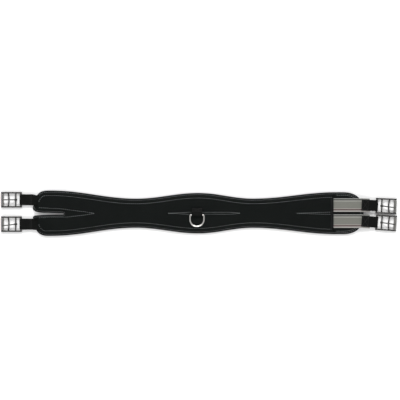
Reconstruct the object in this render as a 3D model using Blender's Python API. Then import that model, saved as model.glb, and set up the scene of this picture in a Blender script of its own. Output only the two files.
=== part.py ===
"""A contoured saddle girth with two roller buckles at each end and elastic straps at one end.

The girth lies flat with its outer face up. X runs along it, Y across it and Z up. The origin is the
middle of the footprint, on the surface the girth lies on. Everything is in metres.
"""

import math

import bmesh
import bpy
import numpy as np
from mathutils import Matrix, Vector

MM = 0.001
GAP = 0.3 * MM  # clearance between pieces that touch

# Load webbing and elastic. The body and the buckles are as wide as these need.
WEBBING_WIDTH = 25.0 * MM
WEBBING = 1.5 * MM
ELASTIC_WIDTH = WEBBING_WIDTH + 5.7 * MM
ELASTIC = 1.3 * MM

# Padded body: the plan outline. Each half width is the straps' share and then a margin.
BODY_LEFT = -377.8 * MM
BODY_RIGHT = 374.2 * MM
LEFT_LOBE_X = BODY_LEFT + 43.2 * MM
LEFT_WAIST_X = -143.0 * MM
MIDDLE_X = -2.0 * MM
RIGHT_WAIST_X = 123.0 * MM
RIGHT_LOBE_X = BODY_RIGHT - 62.2 * MM
LEFT_LOBE_HALF = WEBBING_WIDTH + 26.6 * MM
LEFT_WAIST_HALF = WEBBING_WIDTH + 8.1 * MM
MIDDLE_HALF = WEBBING_WIDTH + 21.0 * MM
RIGHT_WAIST_HALF = WEBBING_WIDTH + 8.2 * MM
RIGHT_LOBE_HALF = ELASTIC_WIDTH + 17.1 * MM
LEFT_ROUND = 34.0 * MM
RIGHT_ROUND = 49.0 * MM
CORNER_POWER = 2.5

# The slit between the two fingers at the left end.
SLIT_END = BODY_LEFT + 70.5 * MM
SLIT_HALF = 2.5 * MM
SLIT_OFFSET = -1.5 * MM
SLIT_FLARE = 3.3 * MM
SLIT_FLARE_LENGTH = 25.0 * MM

# Layers of the body.
LINING = 1.3 * MM
COVER = 1.2 * MM
FOAM_TOP = 7.0 * MM
FOAM_LEFT = BODY_LEFT + 19.8 * MM
FACE_LIFT = 1.6 * MM  # how far the cover has risen when it leaves the binding
NOTCH_PAST_FOAM = 4.0 * MM
BINDING = 1.0 * MM
BINDING_WIDTH = 4.2 * MM
EDGE_INSET = 2.0 * MM
HEM_X = BODY_RIGHT - 69.2 * MM
HEM_SIDE = 0.2 * MM  # from the hem's line to the end of each cover
HEM_TAPE_WIDTH = 6.5 * MM
HEM_TAPE = 1.0 * MM

# How the straps run. The two load straps lie side by side in the lobes and cross at the waists.
ELASTIC_START = HEM_X - 33.0 * MM
WEBBING_END = HEM_X - 4.0 * MM
TAB_START = BODY_RIGHT - 5.5 * MM
TAB_SEAM_END = TAB_START + 19.3 * MM
STRAP_ROOT = 14.0 * MM
FINGER_STRAP_Y = WEBBING_WIDTH / 2 + 14.1 * MM
SLIT_STRAP_Y = WEBBING_WIDTH / 2 + 12.9 * MM
WAIST_STRAP_Y = 6.0 * MM
MIDDLE_STRAP_Y = WEBBING_WIDTH / 2 + 5.0 * MM
RISE_SHARES = (0.276, 0.398)  # from the slit's end to the left waist
FALL_SHARES = (0.571, 0.705)  # from the right waist to the elastic's start
STRAP_BEND = 3.0 * MM  # outside the body, where the strap's layers start to part
FLAT_IN_MOUTH = 6.0 * MM
FOAM_CLIMB = 14.0 * MM
ELASTIC_LEVEL_TO = 26.0 * MM  # before the body's right end
ELASTIC_DIP_AT = 15.0 * MM
ELASTIC_DIP = 0.3 * MM
ELASTIC_DROP = 3.0 * MM  # from over the body's edge to the tab's seam
TAB_DROP = 3.1 * MM
TAB_LEVEL = 1.0 * MM  # past the body's edge, where the tab starts to drop

# Roller buckles.
BUCKLE_LENGTH = 47.6 * MM
SIDE_BAR = 3.9 * MM
STRAP_PLAY = 2.5 * MM  # between the webbing's edges and the side bars
BUCKLE_WIDTH = WEBBING_WIDTH + STRAP_PLAY + 2 * SIDE_BAR
SIDE_BAR_HEIGHT = 3.2 * MM
REAR_BAR_R = 1.7 * MM
TONGUE_BAR_R = 1.5 * MM
GUIDE_BAR_R = 1.5 * MM
AXLE_R = 1.5 * MM
ROLLER_R = 3.2 * MM
ROLLER_FROM_END = 3.3 * MM
GUIDE_FROM_END = 16.0 * MM
TONGUE_FROM_END = 33.6 * MM
REAR_FROM_END = 45.6 * MM
GUIDE_BOW = 2.2 * MM
TONGUE_R = 1.35 * MM
TONGUE_EYE_WALL = 1.5 * MM
TONGUE_EYE_WIDTH = 4.4 * MM
TONGUE_ROOT_X = 0.9 * MM
TONGUE_RISE_SHARES = (0.25, 0.6)  # of the reach, where the shank leaves the eye and nears the roller
TONGUE_RISE = 1.2 * MM
TONGUE_SAG = 0.5 * MM
TONGUE_CREST = 0.1 * MM
TONGUE_PAST_AXLE = 1.6 * MM

# Where each buckle's webbing bar is, and how the buckle lies in plan.
LEFT_BAR_X = BODY_LEFT - 26.6 * MM
RIGHT_BAR_REACH = 34.8 * MM  # from where a right tab starts to its bar
UPPER_LEFT_Y = WEBBING_WIDTH / 2 + 18.0 * MM
LOWER_LEFT_Y = -WEBBING_WIDTH / 2 - 12.4 * MM
UPPER_RIGHT_Y = ELASTIC_WIDTH / 2 + 3.15 * MM
LOWER_RIGHT_Y = -ELASTIC_WIDTH / 2 - 2.55 * MM
UPPER_RIGHT_YAW, LOWER_RIGHT_YAW = math.radians(-2.2), math.radians(-4.2)
TONGUE_TILTS = {
    "upper_left": 0.0,
    "lower_left": math.radians(7.0),
    "upper_right": math.radians(-6.0),
    "lower_right": math.radians(-4.0),
}

# D-ring and the chape that holds it.
RING_X, RING_BAR_Y = -4.5 * MM, -3.5 * MM
RING_WIRE_R = 1.8 * MM
RING_SPAN = 31.4 * MM
RING_DROP = 26.0 * MM
CHAPE = 1.0 * MM
CHAPE_WIDTH = 25.0 * MM
CHAPE_BACK = 12.0 * MM
CHAPE_RISE = 5.0 * MM  # behind the girth's middle line, where the upper layer starts to rise
RING_CORNER = ((2.6 * MM, 0.0), (0.8 * MM, 0.8 * MM), (0.0, 2.6 * MM))

# Heights that follow from the layers.
LOOP_IN = REAR_BAR_R + GAP
BAR_Z = max(LOOP_IN + WEBBING, ROLLER_R + GAP) + GAP / 3
LINING_FLANGE = BINDING + GAP
COVER_FLANGE = LINING_FLANGE + LINING + GAP
LIP_Z = COVER_FLANGE + COVER + GAP
LOW_STRAP_Z = FOAM_TOP + GAP
HIGH_STRAP_Z = LOW_STRAP_Z + WEBBING + GAP
FACE_BOTTOM = HIGH_STRAP_Z + WEBBING + GAP
FACE_TOP = FACE_BOTTOM + COVER
ELASTIC_Z = HIGH_STRAP_Z

LOBES = (
    (LEFT_LOBE_X, LEFT_LOBE_HALF),
    (LEFT_WAIST_X, LEFT_WAIST_HALF),
    (MIDDLE_X, MIDDLE_HALF),
    (RIGHT_WAIST_X, RIGHT_WAIST_HALF),
    (RIGHT_LOBE_X, RIGHT_LOBE_HALF),
)
# Distances in from the outline where the layers change height.
INSETS = [EDGE_INSET, 5.0 * MM, 6.5 * MM, 8.5 * MM, 12.5 * MM]
INSET_FULL = 17.0 * MM
# Where the layers' grid has its rows: near the ends, and evenly between.
FIRST_ROW = EDGE_INSET + 0.5 * MM
END_ROWS = (24.0 * MM, 35.0 * MM, 49.0 * MM)
EVEN_ROWS_IN = 30.0 * MM  # from the slit's end
EVEN_ROWS_OUT = 20.0 * MM  # from the hem
EVEN_ROWS = 18

MATERIALS = {
    "cover_fabric": ((0.011, 0.012, 0.012), 0.85, 0.0),
    "lining_fabric": ((0.010, 0.010, 0.011), 0.9, 0.0),
    "foam": ((0.05, 0.05, 0.055), 0.95, 0.0),
    "binding_tape": ((0.008, 0.008, 0.009), 0.7, 0.0),
    "webbing": ((0.010, 0.010, 0.010), 0.7, 0.0),
    "elastic": ((0.21, 0.21, 0.18), 0.75, 0.0),
    "buckle_steel": ((0.62, 0.61, 0.59), 0.2, 1.0),
    "ring_steel": ((0.68, 0.67, 0.64), 0.22, 1.0),
}


def clear_scene():
    for obj in list(bpy.data.objects):
        bpy.data.objects.remove(obj)


def material(name):
    """The named finish, made the first time it is asked for."""
    if name in bpy.data.materials:
        return bpy.data.materials[name]
    color, roughness, metallic = MATERIALS[name]
    made = bpy.data.materials.new(name)
    made.use_nodes = True
    shader = made.node_tree.nodes["Principled BSDF"]
    shader.inputs["Base Color"].default_value = (*color, 1.0)
    shader.inputs["Roughness"].default_value = roughness
    shader.inputs["Metallic"].default_value = metallic
    made.diffuse_color = (*color, 1.0)
    return made


def add_object(name, mesh, finish, smooth=False):
    obj = bpy.data.objects.new(name, mesh)
    bpy.context.scene.collection.objects.link(obj)
    mesh.materials.clear()
    mesh.materials.append(material(finish))
    if smooth:
        mesh.shade_smooth()
        mesh.set_sharp_from_angle(angle=math.radians(40))
    return obj


def mesh_of(bm, name):
    bmesh.ops.recalc_face_normals(bm, faces=bm.faces)
    mesh = bpy.data.meshes.new(name)
    bm.to_mesh(mesh)
    bm.free()
    return mesh


def combine(name, meshes, finish, operation="UNION"):
    """One object from the first mesh and the others, united with it or cut out of it."""
    base = add_object(name, meshes[0], finish)
    others = [add_object(f"{name}_tool_{i}", m, finish) for i, m in enumerate(meshes[1:])]
    for other in others:
        cut = base.modifiers.new("combine", "BOOLEAN")
        cut.operation = operation
        cut.solver = "EXACT"
        cut.use_self = True
        cut.object = other
    depsgraph = bpy.context.evaluated_depsgraph_get()
    result = bpy.data.meshes.new_from_object(base.evaluated_get(depsgraph), depsgraph=depsgraph)
    for obj in [base, *others]:
        bpy.data.objects.remove(obj)
    result.name = name
    return result


def ease(low, high, share):
    return low + (high - low) * (1.0 - math.cos(math.pi * min(max(share, 0.0), 1.0))) / 2.0


def eased_path(x, stations):
    """The value at x of a curve that eases between (x, value) stations."""
    if x <= stations[0][0]:
        return stations[0][1]
    for (x0, v0), (x1, v1) in zip(stations, stations[1:]):
        if x <= x1:
            return ease(v0, v1, (x - x0) / (x1 - x0))
    return stations[-1][1]


def ramp(value, stations):
    return float(np.interp(value, [s[0] for s in stations], [s[1] for s in stations]))


def half_width(x, inset=0.0):
    """Half the body's width at x, for the outline moved in by inset."""
    left, right = BODY_LEFT + inset, BODY_RIGHT - inset
    width = eased_path(x, LOBES) - inset
    for start, direction, length in ((left, 1, LEFT_ROUND), (right, -1, RIGHT_ROUND)):
        share = min(max((x - start) * direction / (length - inset), 0.0), 1.0)
        width *= (1.0 - (1.0 - share) ** CORNER_POWER) ** (1.0 / CORNER_POWER)
    return width


def slit_edges(x, inset=0.0):
    """The slit's lower and upper edges at x, moved into the fabric by inset."""
    flare = max(BODY_LEFT + SLIT_FLARE_LENGTH - x, 0.0) / SLIT_FLARE_LENGTH
    middle = SLIT_OFFSET * (1.0 - flare**2)
    half = SLIT_HALF + SLIT_FLARE * flare**2 + inset
    return middle - half, middle + half


def outline():
    """The body's closed plan outline, anticlockwise from the lower finger's inner corner."""
    first = math.radians(12)
    corner = [first + (math.pi / 2 - first) * i / 9 for i in range(10)]
    bend = 2.0 / CORNER_POWER
    left = [BODY_LEFT + LEFT_ROUND * (1.0 - math.cos(a) ** bend) for a in corner]
    right = [BODY_RIGHT - RIGHT_ROUND * (1.0 - math.cos(a) ** bend) for a in corner]
    between = np.linspace(left[-1], right[-1], 36)[1:-1]
    lower = [(x, -half_width(x)) for x in [*left, *between, *right[::-1]]]
    upper = [(x, -y) for x, y in reversed(lower)]
    slit_x = np.linspace(BODY_LEFT, SLIT_END - SLIT_HALF, 9)
    edges = [(x, slit_edges(x)) for x in slit_x]
    into = [(x, high) for x, (low, high) in edges]
    back = [(x, low) for x, (low, high) in reversed(edges)]
    turn = [math.pi / 2 - math.pi * i / 5 for i in range(1, 5)]
    round_end = [
        (SLIT_END - SLIT_HALF + SLIT_HALF * math.cos(a), SLIT_OFFSET + SLIT_HALF * math.sin(a))
        for a in turn
    ]
    return np.array(lower + upper + into + round_end + back)


def distance_in(points, x, y):
    """How far (x, y) is from the outline. Past the slit's end its square corners count."""
    a, b = points, np.roll(points, -1, axis=0)
    along = b - a
    p = np.array([x, y])
    share = np.clip(((p - a) * along).sum(1) / (along**2).sum(1), 0.0, 1.0)
    near = float(np.linalg.norm(a + along * share[:, None] - p, axis=1).min())
    return min(near, max(x - SLIT_END, abs(y - SLIT_OFFSET) - SLIT_HALF))


def body_stations(start, end):
    """The x of each row of the layers' shared grid, from start to end."""
    from_end = [FIRST_ROW, *INSETS[1:], INSET_FULL, *END_ROWS]
    xs = [BODY_LEFT + d for d in from_end] + [BODY_RIGHT - d for d in from_end]
    xs += [SLIT_END - SLIT_HALF, *(SLIT_END + d for d in INSETS), FOAM_LEFT]
    xs += [HEM_X - HEM_SIDE, HEM_X + HEM_SIDE]
    xs += list(np.linspace(SLIT_END + EVEN_ROWS_IN, HEM_X - EVEN_ROWS_OUT, EVEN_ROWS))
    chosen = sorted(x for x in xs if start <= x <= end)
    return [x for i, x in enumerate(chosen) if i == 0 or x - chosen[i - 1] > GAP]


def layer(name, edge, bottom, top, start, end, first=0):
    """A closed sheet between two heights, on the shared grid, with the slit left open.

    bottom and top give the height at a distance in from the outline. first is the number of
    columns that are left out along the edge.
    """
    insets = INSETS[first:]
    rim = insets[0]
    xs = body_stations(start, end)
    columns = []
    for x in xs:
        low, high = slit_edges(x, rim)
        rows = []
        for side, inner in ((-1, low), (1, high)):
            outer = side * half_width(x, rim)
            squeeze = min(1.0, abs(outer - inner) / (2.2 * INSETS[-1]))
            near = [outer - side * (d - rim) * squeeze for d in insets]
            far = [inner + side * (d - rim) * squeeze for d in reversed(insets)]
            line = [*near, (near[-1] + far[0]) / 2, *far]
            rows.append(line if side < 0 else line[::-1])
        columns.append(rows[0] + rows[1])
    half = len(columns[0]) // 2
    bm = bmesh.new()
    grids = []
    for height in (bottom, top):
        grid = []
        for x, ys in zip(xs, columns):
            heights = [height(distance_in(edge, x, y), x, y) for y in ys]
            grid.append([bm.verts.new((x, y, z)) for y, z in zip(ys, heights)])
        grids.append(grid)

    def has_cell(i, j):
        if not (0 <= i < len(xs) - 1 and 0 <= j < 2 * half - 1):
            return False
        return j != half - 1 or xs[i] > SLIT_END + rim - GAP

    low_grid, high_grid = grids
    for i in range(len(xs) - 1):
        for j in range(2 * half - 1):
            if not has_cell(i, j):
                continue
            corners = ((i, j), (i + 1, j), (i + 1, j + 1), (i, j + 1))
            bm.faces.new([high_grid[a][b] for a, b in corners])
            bm.faces.new([low_grid[a][b] for a, b in reversed(corners)])
            beyond = ((i, j - 1), (i + 1, j), (i, j + 1), (i - 1, j))
            for k, neighbour in enumerate(beyond):
                if not has_cell(*neighbour):
                    (a, b), (c, d) = corners[k], corners[(k + 1) % 4]
                    bm.faces.new(
                        [low_grid[a][b], low_grid[c][d], high_grid[c][d], high_grid[a][b]]
                    )
    return mesh_of(bm, name)


def block(name, low, high):
    """A box between two corners."""
    bm = bmesh.new()
    bmesh.ops.create_cube(bm, size=1.0)
    low, high = Vector(low), Vector(high)
    bmesh.ops.transform(
        bm,
        matrix=Matrix.Translation((low + high) / 2) @ Matrix.Diagonal((*(high - low), 1.0)),
        verts=bm.verts,
    )
    return mesh_of(bm, name)


def rod(name, path, radius, sides=12, squash=1.0):
    """A round bar along a path of points, with flat ends. squash scales its height."""
    points = [Vector(p) for p in path]
    bm = bmesh.new()
    rings = []
    for i, p in enumerate(points):
        ahead = points[min(i + 1, len(points) - 1)] - points[max(i - 1, 0)]
        across = Vector((0, 0, 1)).cross(ahead)
        across = across.normalized() if across.length > 1e-9 else Vector((1, 0, 0))
        up = ahead.normalized().cross(across)
        angles = [2 * math.pi * (k + 0.5) / sides for k in range(sides)]
        ring = [p + radius * (math.cos(a) * across + squash * math.sin(a) * up) for a in angles]
        rings.append([bm.verts.new(q) for q in ring])
    for r0, r1 in zip(rings, rings[1:]):
        for k in range(sides):
            bm.faces.new([r0[k], r0[(k + 1) % sides], r1[(k + 1) % sides], r1[k]])
    bm.faces.new(rings[0][::-1])
    bm.faces.new(rings[-1])
    return mesh_of(bm, name)


def tube(name, length, inner, outer, sides=24):
    """A tube along Y about the origin."""
    bm = bmesh.new()
    loops = []
    for r, y in ((inner, -1), (outer, -1), (outer, 1), (inner, 1)):
        angles = [2 * math.pi * (k + 0.5) / sides for k in range(sides)]
        ring = [(r * math.cos(a), y * length / 2, r * math.sin(a)) for a in angles]
        loops.append([bm.verts.new(q) for q in ring])
    for i in range(4):
        r0, r1 = loops[i], loops[(i + 1) % 4]
        for k in range(sides):
            bm.faces.new([r0[k], r0[(k + 1) % sides], r1[(k + 1) % sides], r1[k]])
    return mesh_of(bm, name)


def ribbon(name, path, width, thickness):
    """A flat strap along a path in X and Z, whose middle may drift in Y. path is its middle surface."""
    points = [Vector(p) for p in path]
    bm = bmesh.new()
    rings = []
    for i, p in enumerate(points):
        normals = []
        for a, b in ((i - 1, i), (i, i + 1)):
            if 0 <= a and b < len(points):
                run = points[b] - points[a]
                normals.append(Vector((-run.z, 0, run.x)).normalized())
        normal = sum(normals, Vector()).normalized()
        normal *= thickness / 2 / max(normal.dot(normals[0]), 0.3)
        side = Vector((0, width / 2, 0))
        ring = [p - side - normal, p + side - normal, p + side + normal, p - side + normal]
        rings.append([bm.verts.new(q) for q in ring])
    for r0, r1 in zip(rings, rings[1:]):
        for k in range(4):
            bm.faces.new([r0[k], r0[(k + 1) % 4], r1[(k + 1) % 4], r1[k]])
    bm.faces.new(rings[0][::-1])
    bm.faces.new(rings[-1])
    return mesh_of(bm, name)


def bar_loop(bar_x, outward):
    """The strap's middle line round a buckle bar at bar_x, from its top to its bottom."""
    radius = LOOP_IN + WEBBING / 2
    steps = 10
    angles = [math.pi / 2 - math.pi * i / steps for i in range(steps + 1)]
    scale = radius / math.cos(math.pi / steps / 2)
    return [
        (bar_x + outward * (scale if 0 < i < steps else radius) * math.cos(a), BAR_Z + radius * math.sin(a))
        for i, a in enumerate(angles)
    ]


def strap_stations(side):
    """How the middle of one load strap drifts across the girth, as (x, y)."""
    left_y = UPPER_LEFT_Y if side > 0 else LOWER_LEFT_Y
    right_y = UPPER_RIGHT_Y if side > 0 else LOWER_RIGHT_Y
    return (
        (LEFT_BAR_X, left_y),
        (FOAM_LEFT, side * FINGER_STRAP_Y),
        (SLIT_END, side * SLIT_STRAP_Y),
        (LEFT_WAIST_X, side * WAIST_STRAP_Y),
        (MIDDLE_X, side * MIDDLE_STRAP_Y),
        (RIGHT_WAIST_X, side * WAIST_STRAP_Y),
        (ELASTIC_START, right_y),
    )


def load_strap(name, side):
    """One load strap, from its end sewn under itself, round the left bar and along the body."""
    half = WEBBING / 2
    sewn_end = BODY_LEFT + STRAP_ROOT
    low = COVER_FLANGE
    second = low + WEBBING + GAP
    stations = strap_stations(side)
    crest = HIGH_STRAP_Z if side > 0 else LOW_STRAP_Z
    path = [(sewn_end, low + half), (BODY_LEFT - STRAP_BEND, low + half)]
    path += bar_loop(LEFT_BAR_X, -1)[::-1]
    path += [(BODY_LEFT - STRAP_BEND, second + half), (BODY_LEFT + FLAT_IN_MOUTH, second + half)]
    path += [(FOAM_LEFT - EDGE_INSET, LOW_STRAP_Z + half)]
    run = np.linspace(FOAM_LEFT + FOAM_CLIMB, WEBBING_END, 40)
    before, after = LEFT_WAIST_X - SLIT_END, ELASTIC_START - RIGHT_WAIST_X
    rise = [(SLIT_END + share * before, level) for share, level in zip(RISE_SHARES, (0.0, 1.0))]
    rise += [(RIGHT_WAIST_X + share * after, level) for share, level in zip(FALL_SHARES, (1.0, 0.0))]
    path += [(x, LOW_STRAP_Z + half + (crest - LOW_STRAP_Z) * ramp(x, rise)) for x in run]
    points = [(x, eased_path(x, stations), z) for x, z in path]
    return add_object(name, ribbon(name, points, WEBBING_WIDTH, WEBBING), "webbing")


def edge_binding(edge, notches):
    """The tape folded over the edge: a C section carried round the whole outline."""
    section = [
        (0.0, 0.0),
        (BINDING_WIDTH, 0.0),
        (BINDING_WIDTH, BINDING),
        (BINDING, BINDING),
        (BINDING, LIP_Z),
        (BINDING_WIDTH, LIP_Z),
        (BINDING_WIDTH, LIP_Z + BINDING),
        (0.0, LIP_Z + BINDING),
    ]
    count = len(edge)
    bm = bmesh.new()
    rings = []
    for i in range(count):
        before = edge[i] - edge[i - 1]
        after = edge[(i + 1) % count] - edge[i]
        n0 = np.array([-before[1], before[0]]) / np.linalg.norm(before)
        n1 = np.array([-after[1], after[0]]) / np.linalg.norm(after)
        inward = (n0 + n1) / (1.0 + float(n0 @ n1))
        ring = [(*(edge[i] + inward * d), z) for d, z in section]
        rings.append([bm.verts.new(q) for q in ring])
    for i in range(count):
        r0, r1 = rings[i], rings[(i + 1) % count]
        for k in range(len(section)):
            m = (k + 1) % len(section)
            bm.faces.new([r0[k], r0[m], r1[m], r1[k]])
    tape = mesh_of(bm, "binding_tape")
    mesh = combine("edge_binding", [tape, *notches], "binding_tape", "DIFFERENCE")
    add_object("edge_binding", mesh, "binding_tape")


def strap_notches(reach):
    """Boxes that open the finger ends where the two load straps come out."""
    half = WEBBING_WIDTH / 2 + 2 * GAP
    boxes = []
    for side in (1, -1):
        ys = [eased_path(x, strap_stations(side)) for x in (BODY_LEFT - EDGE_INSET, reach)]
        low = (BODY_LEFT - STRAP_BEND, min(ys) - half, COVER_FLANGE - GAP / 2)
        high = (reach, max(ys) + half, 2 * FACE_TOP)
        boxes.append(block(f"strap_notch_{side}", low, high))
    return boxes


def flap_height(d):
    """How high the padding's cover lies above the surface below, at d in from the edge."""
    rise = [(INSETS[1], 0.0), (INSETS[2], 0.1), (INSETS[3], 0.55), (INSETS[4], 0.86), (INSET_FULL, 1.0)]
    return COVER_FLANGE + (LOW_STRAP_Z - COVER_FLANGE) * ramp(d, rise)


def make_body():
    """The lining, the foam, the two covers and the binding."""
    edge = outline()
    end_left, end_right = BODY_LEFT + EDGE_INSET, BODY_RIGHT - EDGE_INSET

    def lining_bottom(d, x, y):
        return ramp(d, [(INSETS[1], LINING_FLANGE), (INSETS[2], 0.0)])

    def lining_top(d, x, y):
        return lining_bottom(d, x, y) + LINING

    def foam_bottom(d, x, y):
        return LINING + GAP

    def foam_top(d, x, y):
        return flap_height(d) - GAP - ramp(d, [(INSETS[4], 3 * GAP), (INSET_FULL, 0.0)])

    def flap_bottom(d, x, y):
        return flap_height(d)

    def flap_top(d, x, y):
        return flap_height(d) + COVER

    def face_bottom(d, x, y):
        swell = HIGH_STRAP_Z + GAP
        rise = [(INSETS[1], COVER_FLANGE), (INSETS[2], COVER_FLANGE + FACE_LIFT)]
        rise += [(INSETS[3], swell), (INSETS[4], FACE_BOTTOM)]
        return ramp(d, rise)

    def face_top(d, x, y):
        return face_bottom(d, x, y) + COVER

    lining = layer("lining", edge, lining_bottom, lining_top, end_left, end_right)
    add_object("lining", lining, "lining_fabric")

    foam_right = BODY_RIGHT - INSETS[3] - GAP
    foam = layer("foam_core", edge, foam_bottom, foam_top, FOAM_LEFT, foam_right, first=3)
    add_object("foam_core", foam, "foam")

    face = layer("face_cover", edge, face_bottom, face_top, end_left, HEM_X)
    face = combine("face_cover", [face, *strap_notches(FOAM_LEFT + NOTCH_PAST_FOAM)], "cover_fabric", "DIFFERENCE")
    add_object("face_cover", face, "cover_fabric")

    flap = layer("flap_cover", edge, flap_bottom, flap_top, HEM_X, end_right)
    add_object("flap_cover", flap, "cover_fabric")

    edge_binding(edge, strap_notches(FOAM_LEFT))


def make_hem_tape():
    """The narrow tape sewn over the end of the face cover, across the girth."""
    x = HEM_X - HEM_SIDE - HEM_TAPE_WIDTH / 2
    reach = half_width(HEM_X) - INSETS[4] - HEM_TAPE
    low = (x - HEM_TAPE_WIDTH / 2, -reach, FACE_TOP + GAP)
    high = (x + HEM_TAPE_WIDTH / 2, reach, FACE_TOP + GAP + HEM_TAPE)
    add_object("hem_tape", block("hem_tape", low, high), "binding_tape")


def right_strap(side):
    """Where a right tab starts, and which way it and its buckle lie."""
    y = UPPER_RIGHT_Y if side > 0 else LOWER_RIGHT_Y
    yaw = UPPER_RIGHT_YAW if side > 0 else LOWER_RIGHT_YAW
    return Vector((TAB_START, y, 0.0)), yaw


def make_elastic(name, side):
    """A striped elastic strap, from the load strap's end over the flap into its buckle's tab."""
    start, yaw = right_strap(side)
    half = ELASTIC / 2
    over_tab = LIP_Z + BINDING + GAP + WEBBING + 2 * GAP
    path = [
        (ELASTIC_START, ELASTIC_Z),
        (BODY_RIGHT - ELASTIC_LEVEL_TO, ELASTIC_Z),
        (BODY_RIGHT - ELASTIC_DIP_AT, ELASTIC_Z - ELASTIC_DIP),
        (TAB_START - TAB_LEVEL, over_tab),
        (BODY_RIGHT + TAB_LEVEL, over_tab),
        (TAB_SEAM_END, over_tab - ELASTIC_DROP),
    ]
    points = []
    for x, z in path:
        drift = math.tan(yaw) * max(x - TAB_START, 0.0)
        points.append((x, start.y + drift, z + half))
    add_object(name, ribbon(name, points, ELASTIC_WIDTH, ELASTIC), "elastic")


def make_right_tab(name, side):
    """Webbing folded round a right buckle's bar, with the elastic sewn between its two ends."""
    start, yaw = right_strap(side)
    half = WEBBING / 2
    under = LIP_Z + BINDING + GAP
    over = under + WEBBING + 2 * GAP + ELASTIC + 2 * GAP
    edge = BODY_RIGHT - TAB_START + TAB_LEVEL
    seam = TAB_SEAM_END - TAB_START
    path = [(0.0, over + half), (edge, over + half), (seam, over - TAB_DROP + half)]
    path += bar_loop(RIGHT_BAR_REACH, 1)
    path += [(seam, under - TAB_DROP + half), (edge, under + half), (0.0, under + half)]
    mesh = ribbon(name, [(x, 0.0, z) for x, z in path], WEBBING_WIDTH, WEBBING)
    tab = add_object(name, mesh, "webbing")
    tab.location = start
    tab.rotation_euler = (0.0, 0.0, yaw)


def buckle_frame_mesh():
    """The buckle frame, with its webbing bar on the origin and its outer end towards +X."""
    out = REAR_FROM_END
    side_y = BUCKLE_WIDTH / 2 - SIDE_BAR / 2
    half_h = SIDE_BAR_HEIGHT / 2
    back = out - BUCKLE_LENGTH
    meshes = []
    for side in (-1, 1):
        low = (back, side * side_y - SIDE_BAR / 2, -half_h)
        high = (out, side * side_y + SIDE_BAR / 2, half_h)
        meshes.append(block(f"side_bar_{side}", low, high))
    straight = ((0.0, REAR_BAR_R), (out - TONGUE_FROM_END, TONGUE_BAR_R), (out - ROLLER_FROM_END, AXLE_R))
    for i, (x, radius) in enumerate(straight):
        meshes.append(rod(f"bar_{i}", [(x, -side_y, 0), (x, side_y, 0)], radius))
    guide_x = out - GUIDE_FROM_END
    shares = np.linspace(-1, 1, 9)
    bow = [(guide_x - GUIDE_BOW * (1 - s * s), s * side_y, 0.0) for s in shares]
    meshes.append(rod("guide_bar", bow, GUIDE_BAR_R))
    first = meshes.pop(0)
    return combine("buckle_frame", [first, *meshes], "buckle_steel")


def tongue_mesh(name, tilt):
    """A tongue whose eye is on the origin, reaching towards +X and turned in plan by tilt."""
    inner = TONGUE_BAR_R + GAP
    outer = inner + TONGUE_EYE_WALL
    eye = tube("eye", TONGUE_EYE_WIDTH, inner, outer, sides=20)
    reach = TONGUE_FROM_END - ROLLER_FROM_END
    tip_z = ROLLER_R + GAP + TONGUE_R
    root_z = (inner + outer) / 2
    leaves, nears = TONGUE_RISE_SHARES
    shape = [(TONGUE_ROOT_X, root_z), (leaves * reach, root_z + TONGUE_RISE)]
    shape += [(nears * reach, tip_z - TONGUE_SAG), (reach - TONGUE_RISE, tip_z + TONGUE_CREST)]
    shape += [(reach + TONGUE_PAST_AXLE, tip_z)]
    path = [(x * math.cos(tilt), x * math.sin(tilt), z) for x, z in shape]
    shank = rod("shank", path, TONGUE_R, sides=10)
    return combine(name, [eye, shank], "buckle_steel")


def make_buckle(place, location, turn, frame_mesh):
    """One roller buckle. Each moving piece has its origin on its own axis."""
    hub = bpy.data.objects.new(f"{place}_buckle_bar_axis", None)
    bpy.context.scene.collection.objects.link(hub)
    hub.location = location
    hub.rotation_euler = (0.0, 0.0, turn)
    frame = add_object(f"{place}_buckle_frame", frame_mesh, "buckle_steel", smooth=True)
    frame.parent = hub

    clear = BUCKLE_WIDTH - 2 * SIDE_BAR - 2 * GAP
    roller_mesh = tube(f"{place}_roller", clear, AXLE_R + GAP, ROLLER_R)
    roller = add_object(f"{place}_roller", roller_mesh, "buckle_steel", smooth=True)
    roller.parent = hub
    roller.location = (REAR_FROM_END - ROLLER_FROM_END, 0.0, 0.0)

    mesh = tongue_mesh(f"{place}_tongue", TONGUE_TILTS[place])
    tongue = add_object(f"{place}_tongue", mesh, "buckle_steel", smooth=True)
    tongue.parent = hub
    tongue.location = (REAR_FROM_END - TONGUE_FROM_END, 0.0, 0.0)


def make_buckles():
    frame_mesh = buckle_frame_mesh()
    left = math.pi
    make_buckle("upper_left", (LEFT_BAR_X, UPPER_LEFT_Y, BAR_Z), left, frame_mesh)
    make_buckle("lower_left", (LEFT_BAR_X, LOWER_LEFT_Y, BAR_Z), left, frame_mesh)
    for place, side in (("upper_right", 1), ("lower_right", -1)):
        start, yaw = right_strap(side)
        bar = start + Vector((math.cos(yaw), math.sin(yaw), 0.0)) * RIGHT_BAR_REACH
        make_buckle(place, (bar.x, bar.y, BAR_Z), yaw, frame_mesh)


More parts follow.
